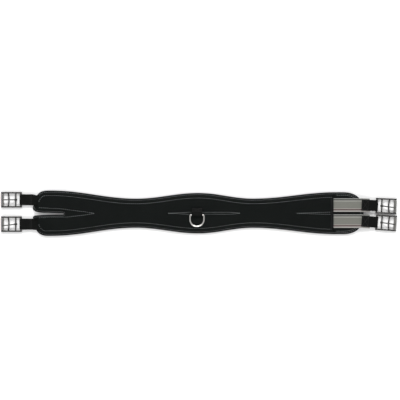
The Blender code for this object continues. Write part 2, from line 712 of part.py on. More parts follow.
def make_d_ring():
    """The D-ring, whose straight bar is on its origin, with the chape that is folded round it."""
    bar_z = FACE_TOP + GAP + CHAPE + GAP + RING_WIRE_R
    rest_z = FACE_TOP + GAP + RING_WIRE_R
    half = RING_SPAN / 2
    straight = RING_DROP - half
    arc = [math.pi * i / 14 for i in range(15)]
    loop = [(half * math.cos(a), -straight - half * math.sin(a), 0.0) for a in arc]
    right = [(half - x, -y, 0.0) for x, y in RING_CORNER]
    left = [(-x, y, z) for x, y, z in reversed(right)]
    path = [(0.0, 0.0, 0.0), *right, *loop, *left]
    mesh = closed_rod("d_ring", path, RING_WIRE_R)
    ring = add_object("d_ring", mesh, "ring_steel", smooth=True)
    ring.location = (RING_X, RING_BAR_Y, bar_z)
    ring.rotation_euler = (math.asin((bar_z - rest_z) / RING_DROP), 0.0, 0.0)

    radius = RING_WIRE_R + GAP + CHAPE / 2
    turn = [math.pi / 2 + math.pi * i / 8 for i in range(9)]
    scale = 1.0 / math.cos(math.pi / 16)
    round_bar = [
        (-RING_BAR_Y - radius * (scale if 0 < i < 8 else 1.0) * math.cos(a), bar_z + radius * math.sin(a))
        for i, a in enumerate(turn)
    ]
    low = FACE_TOP + GAP + CHAPE / 2
    second = low + CHAPE + GAP
    path = [(-CHAPE_BACK, second), (-CHAPE_RISE, second), *round_bar, (-CHAPE_BACK, low)]
    points = [(x, 0.0, z) for x, z in path]
    chape_mesh = ribbon("d_ring_chape", points, CHAPE_WIDTH, CHAPE)
    chape = add_object("d_ring_chape", chape_mesh, "webbing")
    chape.location = (RING_X, 0.0, 0.0)
    chape.rotation_euler = (0.0, 0.0, -math.pi / 2)


def closed_rod(name, path, radius, sides=12):
    """A round wire along a closed path that lies flat."""
    points = [Vector(p) for p in path]
    bm = bmesh.new()
    rings = []
    for i, p in enumerate(points):
        ahead = (points[(i + 1) % len(points)] - points[i - 1]).normalized()
        across = Vector((0, 0, 1)).cross(ahead).normalized()
        angles = [2 * math.pi * k / sides for k in range(sides)]
        ring = [p + radius * (math.cos(a) * across + math.sin(a) * Vector((0, 0, 1))) for a in angles]
        rings.append([bm.verts.new(q) for q in ring])
    for i in range(len(points)):
        r0, r1 = rings[i], rings[(i + 1) % len(points)]
        for k in range(sides):
            bm.faces.new([r0[k], r0[(k + 1) % sides], r1[(k + 1) % sides], r1[k]])
    return mesh_of(bm, name)


clear_scene()
make_body()
make_hem_tape()
load_strap("upper_webbing_strap", 1)
load_strap("lower_webbing_strap", -1)
make_elastic("upper_elastic", 1)
make_elastic("lower_elastic", -1)
make_right_tab("upper_right_tab", 1)
make_right_tab("lower_right_tab", -1)
make_buckles()
make_d_ring()
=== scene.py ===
# %% [markdown]
# # Dressing a saddle girth
#
# The frame of this girth is already built: a padded body, two load straps, two elastic straps, four
# roller buckles and a D-ring, each in its true place. This file gives them their looks. It goes piece
# by piece: a short note says what the piece is on a real girth and how it is made here, and the cell
# after it makes that piece and prints what it measured.

# %% Load the frame
import math

import bmesh
import bpy
import numpy as np
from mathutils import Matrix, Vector
from mathutils.bvhtree import BVHTree


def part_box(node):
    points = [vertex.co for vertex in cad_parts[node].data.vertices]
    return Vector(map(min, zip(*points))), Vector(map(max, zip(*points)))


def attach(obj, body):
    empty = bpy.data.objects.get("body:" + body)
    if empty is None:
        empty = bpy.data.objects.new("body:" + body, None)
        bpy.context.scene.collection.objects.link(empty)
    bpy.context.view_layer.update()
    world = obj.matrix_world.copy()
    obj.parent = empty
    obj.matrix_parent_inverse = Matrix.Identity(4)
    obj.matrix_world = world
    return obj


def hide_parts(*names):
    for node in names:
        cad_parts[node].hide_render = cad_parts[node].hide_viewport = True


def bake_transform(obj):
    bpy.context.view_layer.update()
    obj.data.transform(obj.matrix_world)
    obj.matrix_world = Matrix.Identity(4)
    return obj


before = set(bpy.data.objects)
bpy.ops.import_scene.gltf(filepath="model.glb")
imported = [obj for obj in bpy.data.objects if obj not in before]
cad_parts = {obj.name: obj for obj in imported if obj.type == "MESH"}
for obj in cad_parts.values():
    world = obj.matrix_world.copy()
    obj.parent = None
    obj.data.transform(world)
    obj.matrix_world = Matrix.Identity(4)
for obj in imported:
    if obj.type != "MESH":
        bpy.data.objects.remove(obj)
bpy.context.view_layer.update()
MM = 0.001


def mm(*lengths):
    """Lengths given in millimetres, as a row of lengths in metres."""
    return tuple(length * MM for length in lengths)


# %% [markdown]
# ## The camera
#
# A girth lying flat is seen whole from straight above, from far enough away that its middle and its
# ends look the same size. A long lens a few girth lengths up does that. The camera stands a little to
# the side of the girth's middle line, so the girth sits a little low in the view.

# %% Camera
VIEW_WIDTH = 910.4 * MM
LENS_MM, SENSOR_MM = 100.0, 36.0
CAMERA_OVER = mm(2.3, 30.0)
camera_height = VIEW_WIDTH * LENS_MM / SENSOR_MM


def add_piece(name, data):
    """A new object that holds data, put in the scene."""
    made = bpy.data.objects.new(name, data)
    bpy.context.scene.collection.objects.link(made)
    return made


camera = add_piece("camera", bpy.data.cameras.new("camera"))
camera.data.lens = LENS_MM
camera.data.sensor_width = SENSOR_MM
camera.data.clip_end = 20.0
camera.location = (*CAMERA_OVER, camera_height)
bpy.context.scene.camera = camera
print("camera height in metres:", round(camera_height, 3))

# %% [markdown]
# ## Small tools for node trees
#
# Every material below is a node tree. A few small helpers keep them readable: one adds a node and sets
# its plain inputs, two do arithmetic, and one starts a shared node group with named sockets.

# %% Node helpers
def add_node(tree, kind, inputs=None, **settings):
    """A shader node of the given kind. An input given as a socket is linked, and any other is set."""
    made = tree.nodes.new("ShaderNode" + kind)
    for name, value in settings.items():
        setattr(made, name, value)
    for name, value in (inputs or {}).items():
        if isinstance(value, bpy.types.NodeSocket):
            tree.links.new(value, made.inputs[name])
        else:
            made.inputs[name].default_value = value
    return made


def calc(tree, operation, *values):
    """One Math node, and the socket it puts out."""
    return add_node(tree, "Math", dict(enumerate(values)), operation=operation).outputs[0]


def weighed(tree, *parts):
    """The sum of parts, each a socket and its weight."""
    total = None
    for socket, weight in parts:
        part = calc(tree, "MULTIPLY", socket, weight)
        total = part if total is None else calc(tree, "ADD", total, part)
    return total


def start_group(name, inputs, outputs):
    """An empty shader node group with float inputs, a vector input called Vector, and float outputs."""
    group = bpy.data.node_groups.new(name, "ShaderNodeTree")
    group.interface.new_socket(name="Vector", in_out="INPUT", socket_type="NodeSocketVector")
    for label, value in inputs.items():
        socket = group.interface.new_socket(name=label, in_out="INPUT", socket_type="NodeSocketFloat")
        socket.default_value = value
    for label in outputs:
        group.interface.new_socket(name=label, in_out="OUTPUT", socket_type="NodeSocketFloat")
    return group, group.nodes.new("NodeGroupInput").outputs, group.nodes.new("NodeGroupOutput").inputs


# %% [markdown]
# ## Woven cloth, as a shared group
#
# Nearly everything here is woven: canvas, tape, webbing and elastic. A weave is a grid in which one
# thread goes over and the next goes under, so one group makes them all. It reads a map laid on each
# piece in metres, counts threads along and across, and puts out the height of the cloth and a mask that
# is bright on top of the threads. Where a material mixes that mask into its colour, it is a painted
# highlight on the thread tops and painted shade between the threads. Tape and webbing have coarse
# crossways ribs: the same group with threads much wider one way.

# %% Weave group
def make_weave_group():
    group, given, result = start_group(
        "woven_cloth", {"Threads Along": 1000.0, "Threads Across": 1000.0}, ["Height", "Crown_Highlight"]
    )
    split = add_node(group, "SeparateXYZ", {"Vector": given["Vector"]}).outputs
    along = calc(group, "MULTIPLY", split["X"], given["Threads Along"])
    across = calc(group, "MULTIPLY", split["Y"], given["Threads Across"])
    warp, weft = [
        calc(group, "ABSOLUTE", calc(group, "SINE", calc(group, "MULTIPLY", way, math.pi)))
        for way in (across, along)
    ]
    cell = calc(group, "ADD", calc(group, "FLOOR", along), calc(group, "FLOOR", across))
    over = calc(group, "GREATER_THAN", calc(group, "PINGPONG", cell, 1.0), 0.5)
    blend = add_node(group, "Mix", {0: over, 2: warp, 3: weft}, data_type="FLOAT")
    group.links.new(blend.outputs[0], result["Height"])
    # The crown mask is bright on the thread tops. Mixed into a colour, it is a painted highlight there and
    # painted shade between the threads.
    group.links.new(calc(group, "POWER", blend.outputs[0], 2.0), result["Crown_Highlight"])
    return group


WEAVE = make_weave_group()
print("weave group nodes:", len(WEAVE.nodes))

# %% [markdown]
# ## Use and handling, as a shared group
#
# New cloth is never one flat black. A broad mottle lightens and darkens its colour over tens of
# millimetres, the pile lies different ways over a few millimetres, and fine pale lint sits on it. This
# group puts out those three as plain numbers between 0 and 1. Each material decides how strongly it
# shows them. Mixed into a colour, the nap is a painted sheen: the light catches pile that lies one way
# and not pile that lies another.

# %% Handling group
MOTTLE_SCALE, NAP_SCALE, LINT_SCALE = 22.0, 240.0, 900.0
LINT_START, LINT_GAIN = 0.70, 9.0


def make_handling_group():
    group, given, result = start_group("cloth_handling", {"Scale": 1.0}, ["Mottle", "Nap_Sheen", "Lint"])

    def noise(scale, detail):
        size = calc(group, "MULTIPLY", given["Scale"], scale)
        values = {"Vector": given["Vector"], "Scale": size, "Detail": detail, "Roughness": 0.6}
        return add_node(group, "TexNoise", values).outputs["Fac"]

    flecks = calc(group, "MULTIPLY", calc(group, "SUBTRACT", noise(LINT_SCALE, 1.0), LINT_START), LINT_GAIN)
    lint = add_node(group, "Clamp", {"Value": flecks}).outputs[0]
    group.links.new(noise(MOTTLE_SCALE, 3.0), result["Mottle"])
    # The nap is the pile as a bump. Where a material mixes it into its colour, it is a painted sheen.
    group.links.new(noise(NAP_SCALE, 4.0), result["Nap_Sheen"])
    group.links.new(lint, result["Lint"])
    return group


HANDLING = make_handling_group()
print("handling group nodes:", len(HANDLING.nodes))

# %% [markdown]
# ## Cloth materials
#
# All the black cloths are one recipe with different numbers: a very dark base colour that the mottle,
# the nap, the thread crowns and the lint vary, a rough surface that is a little smoother on the crowns
# of the threads, and a bump from the weave. In the colour, the crowns are a painted highlight on the
# thread tops with painted shade between them, and the nap is a painted sheen. A touch of sheen stands
# for the loose fibres that catch the light at the edges of each roll. The sheen is one number all over,
# so it is set on the shader's own socket.

# %% Cloth recipe
LINT_COLOR = (0.12, 0.12, 0.12)
NAP_DEPTH = 0.25 * MM


def shader_of(name):
    """A new material, its tree and its Principled shader."""
    material = bpy.data.materials.new(name)
    material.use_nodes = True
    return material, material.node_tree, material.node_tree.nodes["Principled BSDF"]


def finish_shader(tree, shader, color, roughness, normal, **plain):
    """Links what varies over the surface to the shader, and sets what is the same all over on it."""
    for name, socket in {"Base Color": color, "Roughness": roughness, "Normal": normal}.items():
        tree.links.new(socket, shader.inputs[name])
    for name, value in plain.items():
        shader.inputs[name.replace("_", " ")].default_value = value


def place_group(tree, group, **inputs):
    named = {name.replace("_", " "): value for name, value in inputs.items()}
    return add_node(tree, "Group", named, node_tree=group).outputs


def mix_color(tree, factor, dark, light, **settings):
    """A mix of two colours, each a socket or a plain red, green and blue."""
    dark, light = [c if isinstance(c, bpy.types.NodeSocket) else (*c, 1.0) for c in (dark, light)]
    ends = {0: factor, 6: dark, 7: light}
    return add_node(tree, "Mix", ends, data_type="RGBA", **settings).outputs[2]


def laid_map(tree):
    return add_node(tree, "UVMap", uv_map="laid").outputs["UV"]


def object_place(tree):
    return add_node(tree, "TexCoord").outputs["Object"]


def bump_of(tree, height, distance, strength=1.0, **more):
    inputs = {"Height": height, "Distance": distance, "Strength": strength, **more}
    return add_node(tree, "Bump", inputs).outputs["Normal"]


def cloth(name, dark, light, along, across, rough, sheen, depth=0.25 * MM, lint=0.25):
    """A woven cloth. along and across are threads in a metre."""
    material, tree, shader = shader_of(name)
    weave = place_group(tree, WEAVE, Vector=laid_map(tree), Threads_Along=along, Threads_Across=across)
    use = place_group(tree, HANDLING, Vector=object_place(tree))
    # Painted light in the colour: the crown mask paints a highlight on the thread tops and shade between the
    # threads, and the nap paints a sheen. The mottle varies the tone.
    shade = weighed(tree, (use["Mottle"], 0.5), (weave["Crown_Highlight"], 0.4), (use["Nap_Sheen"], 0.2))
    color = mix_color(tree, shade, dark, light)
    flecked = mix_color(tree, calc(tree, "MULTIPLY", use["Lint"], lint), color, LINT_COLOR)
    roughness = calc(tree, "SUBTRACT", rough, calc(tree, "MULTIPLY", weave["Crown_Highlight"], 0.12))
    nap = bump_of(tree, use["Nap_Sheen"], NAP_DEPTH, 0.5)
    woven = bump_of(tree, weave["Height"], depth, 0.8, Normal=nap)
    finish_shader(
        tree, shader, flecked, roughness, woven,
        Specular_IOR_Level=0.05, Sheen_Weight=sheen, Sheen_Roughness=0.5,
    )
    return material


COVER_CLOTH = cloth(
    "cover_canvas", (0.0017, 0.0026, 0.0024), (0.0075, 0.0089, 0.0084), 1150, 1150, 0.88, 0.012
)
LINING_CLOTH = cloth("lining_knit", (0.006, 0.006, 0.007), (0.016, 0.016, 0.017), 700, 900, 0.95, 0.05)
BINDING_CLOTH = cloth(
    "folded_tape", (0.0020, 0.0025, 0.0025), (0.0085, 0.0092, 0.0092), 620, 2600, 0.70, 0.012
)
WEBBING_CLOTH = cloth(
    "black_webbing", (0.0018, 0.0021, 0.0020), (0.0068, 0.0072, 0.0068), 520, 900, 0.72, 0.01, 0.4 * MM
)
print("cloths:", [m.name for m in (COVER_CLOTH, LINING_CLOTH, BINDING_CLOTH, WEBBING_CLOTH)])

# %% [markdown]
# ## Thread
#
# The girth is sewn with a pale grey contrast thread. A thread is twisted, so slanted ridges run round
# it. A wave over the stitch's own length and roundness gives the twist as a bump, and in the colour as a
# painted highlight on the ridges and painted shade in the grooves. The nap adds a painted sheen to the
# colour.

# %% Thread material
TWIST_SCALE, TWIST_DEPTH = 420.0, 0.12 * MM


def thread_material(name, dark, light):
    material, tree, shader = shader_of(name)
    laid = laid_map(tree)
    twist = add_node(
        tree, "TexWave", {"Vector": laid, "Scale": TWIST_SCALE, "Distortion": 0.4},
        bands_direction="DIAGONAL",
    ).outputs["Fac"]
    use = place_group(tree, HANDLING, Vector=laid)
    # Painted light in the colour: the twist paints a highlight on the ridges and shade in the grooves, and
    # the nap paints a sheen.
    shade = weighed(tree, (twist, 0.6), (use["Nap_Sheen"], 0.4))
    roughness = calc(tree, "SUBTRACT", 0.75, calc(tree, "MULTIPLY", shade, 0.2))
    color = mix_color(tree, shade, dark, light)
    finish_shader(tree, shader, color, roughness, bump_of(tree, twist, TWIST_DEPTH))
    return material


PALE_THREAD = thread_material("pale_thread", (0.14, 0.15, 0.15), (0.30, 0.32, 0.32))
BLACK_THREAD = thread_material("black_thread", (0.006, 0.006, 0.006), (0.022, 0.022, 0.022))
print("threads:", PALE_THREAD.name, BLACK_THREAD.name)

# %% [markdown]
# ## Striped elastic
#
# Girth elastic is woven with its stripes lengthways: light edges, a thin dark line, a mid-grey middle and
# a dull burgundy line on one side. A colour ramp across the strap holds the stripes. Along the strap are
# the fine crossways ribs of the rubber cores, and slight lengthways cords run all across it.

# %% Elastic material
ELASTIC_WIDTH = 30.7 * MM
STRIPES = (
    (0.000, (0.250, 0.255, 0.240)),
    (0.075, (0.012, 0.012, 0.010)),
    (0.150, (0.345, 0.345, 0.315)),
    (0.225, (0.182, 0.184, 0.162)),
    (0.740, (0.300, 0.275, 0.258)),
    (0.810, (0.045, 0.014, 0.016)),
    (0.890, (0.370, 0.355, 0.335)),
)


def elastic_material():
    material, tree, shader = shader_of("striped_elastic")
    laid = laid_map(tree)
    split = add_node(tree, "SeparateXYZ", {"Vector": laid}).outputs
    share = calc(tree, "DIVIDE", split["Y"], ELASTIC_WIDTH)
    noise = add_node(tree, "TexNoise", {"Vector": laid, "Scale": 60.0, "Detail": 1.0})
    wobble = calc(tree, "MULTIPLY", calc(tree, "SUBTRACT", noise.outputs["Fac"], 0.5), 0.01)
    ramp = add_node(tree, "ValToRGB", {"Fac": calc(tree, "ADD", share, wobble)})
    ramp.color_ramp.interpolation = "CONSTANT"
    marks = ramp.color_ramp.elements
    for number, (place, color) in enumerate(STRIPES):
        mark = marks[number] if number < 2 else marks.new(place)
        mark.position, mark.color = place, (*color, 1.0)
    weave = place_group(tree, WEAVE, Vector=laid, Threads_Along=1000.0, Threads_Across=820.0)
    use = place_group(tree, HANDLING, Vector=laid)
    shade = weighed(tree, (weave["Crown_Highlight"], 0.55), (use["Nap_Sheen"], 0.45))
    stripe = ramp.outputs["Color"]
    # The stripe colour dimmed. The crown mask and the nap mix it back towards the stripe, so this is painted
    # shade between the ribs, with a painted highlight and a painted sheen.
    shaded_stripe = mix_color(tree, 0.75, stripe, (0.62, 0.62, 0.62), blend_type="MULTIPLY")
    roughness = calc(tree, "SUBTRACT", 0.9, calc(tree, "MULTIPLY", shade, 0.2))
    ribs = bump_of(tree, weave["Height"], 0.35 * MM, 0.8)
    color = mix_color(tree, shade, shaded_stripe, stripe)
    finish_shader(tree, shader, color, roughness, ribs, Specular_IOR_Level=0.3)
    return material


STRIPED_ELASTIC = elastic_material()

# %% [markdown]
# ## Plated steel
#
# The buckles and the ring are plated steel: a metal with a slightly warm grey colour. Handling leaves
# fine scratches that run every way and duller patches where fingers have been. Both vary the roughness,
# and the scratches also catch the light through a very small bump. The buckle frames and tongues are
# painted very dark and the rollers a middle grey. These are painted dark reflections, not the colour of
# the plated steel. The ring keeps the lighter colour of plated steel.

# %% Steel material
SCRATCH_STRETCH, SCRATCH_LEAN = (60.0, 900.0, 500.0), (0.2, 0.3, 0.7)
SCRATCH_START, SCRATCH_GAIN = 0.58, 6.0


def make_metal_group():
    group, given, result = start_group("handled_metal", {"Scale": 1.0}, ["Scratches", "Patches"])
    drawn_out = {"Vector": given["Vector"], "Scale": SCRATCH_STRETCH, "Rotation": SCRATCH_LEAN}
    stretched = add_node(group, "Mapping", drawn_out).outputs[0]
    fine = add_node(
        group, "TexNoise", {"Vector": stretched, "Scale": given["Scale"], "Detail": 2.0}
    ).outputs["Fac"]
    lines = calc(group, "MULTIPLY", calc(group, "SUBTRACT", fine, SCRATCH_START), SCRATCH_GAIN)
    group.links.new(add_node(group, "Clamp", {"Value": lines}).outputs[0], result["Scratches"])
    fingered = {"Vector": given["Vector"], "Scale": 160.0, "Detail": 3.0}
    group.links.new(add_node(group, "TexNoise", fingered).outputs["Fac"], result["Patches"])
    return group


METAL = make_metal_group()


def steel(name, dull, bright, rough):
    material, tree, shader = shader_of(name)
    marks = place_group(tree, METAL, Vector=object_place(tree))
    worn = calc(tree, "ADD", rough, calc(tree, "MULTIPLY", marks["Patches"], 0.14))
    worn = calc(tree, "ADD", worn, calc(tree, "MULTIPLY", marks["Scratches"], 0.10))
    scratched = bump_of(tree, marks["Scratches"], 0.01 * MM, 0.4)
    color = mix_color(tree, marks["Patches"], dull, bright)
    finish_shader(tree, shader, color, worn, scratched, Metallic=1.0)
    return material


# The frame and tongue steel is painted very dark and the roller steel a middle grey, as painted dark
# reflections. The ring steel keeps the colour of plated steel.
DARKENED_BUCKLE_STEEL = steel("plated_steel_painted_dark", (0.030, 0.030, 0.029), (0.11, 0.108, 0.105), 0.12)
DARKENED_ROLLER_STEEL = steel("roller_steel_painted_dark", (0.20, 0.198, 0.19), (0.38, 0.375, 0.36), 0.16)
RING_STEEL = steel("bright_steel", (0.55, 0.54, 0.52), (0.78, 0.77, 0.74), 0.14)
print("metals:", DARKENED_BUCKLE_STEEL.name, DARKENED_ROLLER_STEEL.name, RING_STEEL.name)

# %% [markdown]
# ## The outline of the padded body
#
# Seen from above, the body is wide at both ends and in the middle and narrow at two waists, where the
# horse's elbows move. The half width eases from one of these stations to the next, and a power curve
# rounds each end. At the left a slit parts the body into two fingers. The same few numbers give the
# frame its shape, so the cloth lands on it.

# %% Outline
BODY_LEFT, BODY_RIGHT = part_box("edge_binding")[0][0], 374.2 * MM
LOBES = (
    mm(-334.6, 51.6),
    mm(-143.0, 33.1),
    mm(-2.0, 46.0),
    mm(123.0, 33.2),
    mm(312.0, 47.8),
)
LEFT_ROUND, RIGHT_ROUND = mm(34.0, 49.0)
CORNER_POWER = 2.5
SLIT_END, SLIT_HALF, SLIT_OFFSET = mm(-307.3, 2.5, -1.5)
SLIT_FLARE, SLIT_FLARE_LENGTH = mm(3.3, 25.0)
SLIT_TAPER = 0.9 * MM
TAPER_FROM, TAPER_TO = BODY_LEFT + 12 * MM, SLIT_END - 6 * MM
SLIT_NOSE = SLIT_HALF - SLIT_TAPER
FINGER_CORNER = 4.6 * MM
OUTLINE_STEP = 1.6 * MM


def columns(*parts):
    """Equally long rows of numbers, or plain numbers, set side by side as columns."""
    return np.stack(np.broadcast_arrays(*parts), -1)


def smooth_step(low, high, value):
    share = np.clip((np.asarray(value, float) - low) / (high - low), 0.0, 1.0)
    return share * share * (3.0 - 2.0 * share)


def eased(x, stations):
    """A curve that eases between (x, value) stations with a half cosine, for arrays."""
    x = np.asarray(x, float)
    value = np.full(x.shape, stations[0][1])
    for (x0, v0), (x1, v1) in zip(stations, stations[1:]):
        share = np.clip((x - x0) / (x1 - x0), 0.0, 1.0)
        value = np.where(x > x0, v0 + (v1 - v0) * (1.0 - np.cos(math.pi * share)) / 2.0, value)
    return value


def half_width(x, inset=0.0):
    x = np.asarray(x, float)
    width = eased(x, LOBES) - inset
    ends = ((BODY_LEFT + inset, 1, LEFT_ROUND), (BODY_RIGHT - inset, -1, RIGHT_ROUND))
    for start, way, length in ends:
        share = np.clip((x - start) * way / (length - inset), 0.0, 1.0)
        width = width * (1.0 - (1.0 - share) ** CORNER_POWER) ** (1.0 / CORNER_POWER)
    return width


def slit_edges(x, inset=0.0):
    from_end = (BODY_LEFT + SLIT_FLARE_LENGTH - np.asarray(x, float)) / SLIT_FLARE_LENGTH
    flare = np.clip(from_end, 0.0, None) ** 2
    middle = SLIT_OFFSET * (1.0 - flare)
    half = SLIT_HALF + SLIT_FLARE * flare - SLIT_TAPER * smooth_step(TAPER_FROM, TAPER_TO, x) + inset
    return middle - half, middle + half


def even(points, step, closed=False):
    """The same line with points about one step apart."""
    points = np.asarray(points, float)
    if closed:
        points = np.vstack([points, points[:1]])
    along = np.concatenate([[0.0], np.cumsum(np.linalg.norm(np.diff(points, axis=0), axis=1))])
    count = max(2, int(round(along[-1] / step)) + 1)
    at = np.linspace(0.0, along[-1], count)
    line = columns(*[np.interp(at, along, points[:, k]) for k in range(points.shape[1])])
    return line[:-1] if closed else line


def body_outline():
    """The closed outline, anticlockwise, with the fingers' inner corners rounded."""
    eased_in = 1.0 - np.cos(np.radians(np.linspace(1.0, 90.0, 40))) ** (2.0 / CORNER_POWER)
    left = BODY_LEFT + LEFT_ROUND * eased_in
    right = BODY_RIGHT - RIGHT_ROUND * eased_in
    xs = np.concatenate([left, np.linspace(left[-1], right[-1], 340)[1:-1], right[::-1]])
    mouth_low, mouth_high = slit_edges(BODY_LEFT)
    ys = half_width(xs)
    right_half = xs > 0
    lower = columns(xs, -ys)[(ys > -mouth_low + FINGER_CORNER) | right_half]
    upper = columns(xs, ys)[(ys > mouth_high + FINGER_CORNER) | right_half][::-1]
    turn = np.radians(np.linspace(0.0, 90.0, 7))
    corner_x, corner_y = FINGER_CORNER * (1 - np.cos(turn)), FINGER_CORNER * (1 - np.sin(turn))
    high_turn = columns(BODY_LEFT + corner_x, mouth_high + corner_y)
    low_turn = columns(BODY_LEFT + corner_x, mouth_low - corner_y)[::-1]
    sx = np.linspace(BODY_LEFT + FINGER_CORNER, SLIT_END - SLIT_NOSE, 40)
    low, high = slit_edges(sx)
    turn = np.radians(np.linspace(90.0, -90.0, 9))[1:-1]
    nose = columns(SLIT_END - SLIT_NOSE + SLIT_NOSE * np.cos(turn), SLIT_OFFSET + SLIT_NOSE * np.sin(turn))
    around = [lower, upper, high_turn, columns(sx, high), nose, columns(sx, low)[::-1], low_turn]
    return even(np.vstack(around), OUTLINE_STEP, closed=True)


def distance_to(line, x, y, closed=False):
    """How far each (x, y) is from a line of points."""
    a = line if closed else line[:-1]
    b = np.roll(line, -1, axis=0) if closed else line[1:]
    p = columns(np.ravel(x), np.ravel(y))
    best = np.full(len(p), 1.0)
    along = b - a
    length = np.maximum((along**2).sum(1), 1e-18)
    for start in range(0, len(p), 4000):
        q = p[start : start + 4000, None, :] - a[None]
        share = np.clip((q * along[None]).sum(2) / length, 0.0, 1.0)
        gap = q - along[None] * share[..., None]
        best[start : start + 4000] = np.sqrt((gap**2).sum(2).min(1))
    return best.reshape(np.shape(x))


def inward_of(line):
    """At each point of a closed anticlockwise line, the way into it, twice the local step long."""
    ahead = np.roll(line, -1, axis=0) - np.roll(line, 1, axis=0)
    return columns(-ahead[:, 1], ahead[:, 0])


def unit(rows):
    return rows / np.linalg.norm(rows, axis=1)[:, None]


OUTLINE = body_outline()
print("points round the outline:", len(OUTLINE))

# %% [markdown]
# ## Where the rows of stitching run
#
# Two rows follow the outline: one holds the binding, close to the edge, and one closes the padded rim,
# further in. Between them and the middle lie the two load straps, each in its own channel. Where the
# straps lie side by side an inner row runs down each side of the middle, and the two rows meet where
# the straps cross at a waist. So the inner rows make a fork at the left, a leaf in the middle and a
# half leaf at the right. These lines are kept apart from the cloth, because the cloth dips along
# them and the stitches lie in the dips.

# %% Stitch lines
EDGE_ROW, RIM_ROW = mm(3.6, 11.5)
FINGER_SEAM = BODY_LEFT + 14.0 * MM
HEM_X = 304.8 * MM
MIDDLE_BAND = 16 * MM
ROW_BREAK = 6 * MM


def inset_line(distance, keep):
    """The outline moved in, for the points that keep() accepts, as separate lines."""
    points = OUTLINE + unit(inward_of(OUTLINE)) * distance
    clear = distance_to(OUTLINE, points[:, 0], points[:, 1], closed=True) > distance * 0.97
    good = clear & np.array([keep(x, y) for x, y in points])
    breaks = np.flatnonzero(~good)
    if len(breaks) == 0:
        return [np.vstack([points, points[:1]])]
    lines, line = [], []
    for i in np.roll(np.arange(len(points)), -breaks[0]):
        if good[i] and (not line or np.linalg.norm(points[i] - line[-1]) < ROW_BREAK):
            line.append(points[i])
            continue
        if len(line) > 3:
            lines.append(np.array(line))
        line = []
    return lines + ([np.array(line)] if len(line) > 3 else [])


def outer_side(x, y):
    """Is this point on a long outer side, and not in the slit, at an end or on the flap?"""
    return FINGER_SEAM < x < HEM_X - 2 * MM and abs(y) > MIDDLE_BAND


def drawn(*points):
    """A smooth line through points in millimetres."""
    points = np.array(points, float) * MM
    at = np.linspace(points[0, 0], points[-1, 0], 60)
    y = np.interp(at, points[:, 0], points[:, 1])
    for _ in range(12):
        y[1:-1] = (y[:-2] + 2 * y[1:-1] + y[2:]) / 4
    return columns(at, y)


def mirrored(*points):
    """A smooth line, and its mirror image across the girth's middle line."""
    return [drawn(*points), drawn(*[(x, -y) for x, y in points])]


RIM_LINES = inset_line(RIM_ROW, outer_side)
LEFT_FORK = [
    drawn((-363.8, 12.6), (-339, 11.4), (-312, 10.2), (-298, 8.0), (-280, 5.7), (-262, 3.9), (-237, 0)),
    drawn((-363.8, -10.6), (-339, -9.0), (-298, -8.6), (-280, -6.4), (-262, -4.6), (-237, -0.2)),
]
MIDDLE_LEAF = mirrored((-70.6, 0.2), (-48, 0.9), (-30, 2.2), (75, 2.2), (93.3, 0.2))
RIGHT_LEAF = mirrored((220.8, 0.0), (250, 1.1), (275, 2.1), (303, 2.5))
INNER_LINES = LEFT_FORK + MIDDLE_LEAF + RIGHT_LEAF
print("rim rows:", len(RIM_LINES), "inner rows:", len(INNER_LINES))

# %% [markdown]
# ## A sheet of cloth over the body
#
# The cover and the lining are both sheets with the body's outline. A grid suits them: rows of points
# across the body from end to end, each row fitted between the slit and the outline, with more points
# where the padding turns down to the edge. The height of each point comes from a function of its place,
# so the same grid makes the quilted outside, the flatter lining and the flap. Solidify gives the sheet
# the thickness of its cloth. A map in metres is laid on it for the weave.

# %% Sheet maker
RIM_COLUMNS = np.concatenate([np.arange(0.0, 12.6, 0.9), [14.0, 15.6]]) * MM
MIDDLE_COLUMNS = 9
END_ROWS = np.array([0.3, 0.8, 1.5, 2.4, 3.4, 4.5, 5.6, 6.8]) * MM
SLIT_ROWS = SLIT_END + np.array([2.2, 3.0, 4.0]) * MM
SHUT_HALF = 0.5 * MM  # half of the column that closes the sheet beyond the slit


def new_mesh(name, points, faces, flat, turn_out=True):
    """A smooth mesh in the scene, with a map called laid: flat gives each point's place in metres."""
    mesh = bpy.data.meshes.new(name)
    mesh.from_pydata(points.tolist(), [], faces)
    corners = np.empty(len(mesh.loops), np.int64)
    mesh.loops.foreach_get("vertex_index", corners)
    layer = mesh.uv_layers.new(name="laid")
    layer.data.foreach_set("uv", np.asarray(flat, np.float32)[corners].ravel())
    if turn_out:
        clean = bmesh.new()
        clean.from_mesh(mesh)
        bmesh.ops.recalc_face_normals(clean, faces=clean.faces)
        clean.to_mesh(mesh)
        clean.free()
    mesh.shade_smooth()
    return add_piece(name, mesh)


def sheet_rows(start, end, step):
    """The x of each row: close together at the rounded ends, then one step apart."""
    xs = [start, end, *np.arange(start + 8 * MM, end - 8 * MM, step)]
    if start < BODY_LEFT + 10 * MM:
        xs += [*(start + END_ROWS), *SLIT_ROWS]
    if end > BODY_RIGHT - 10 * MM:
        xs += list(end - END_ROWS)
    xs = sorted(x for x in xs if start <= x <= end)
    return np.array([x for i, x in enumerate(xs) if i == 0 or x - xs[i - 1] > 0.25 * MM])


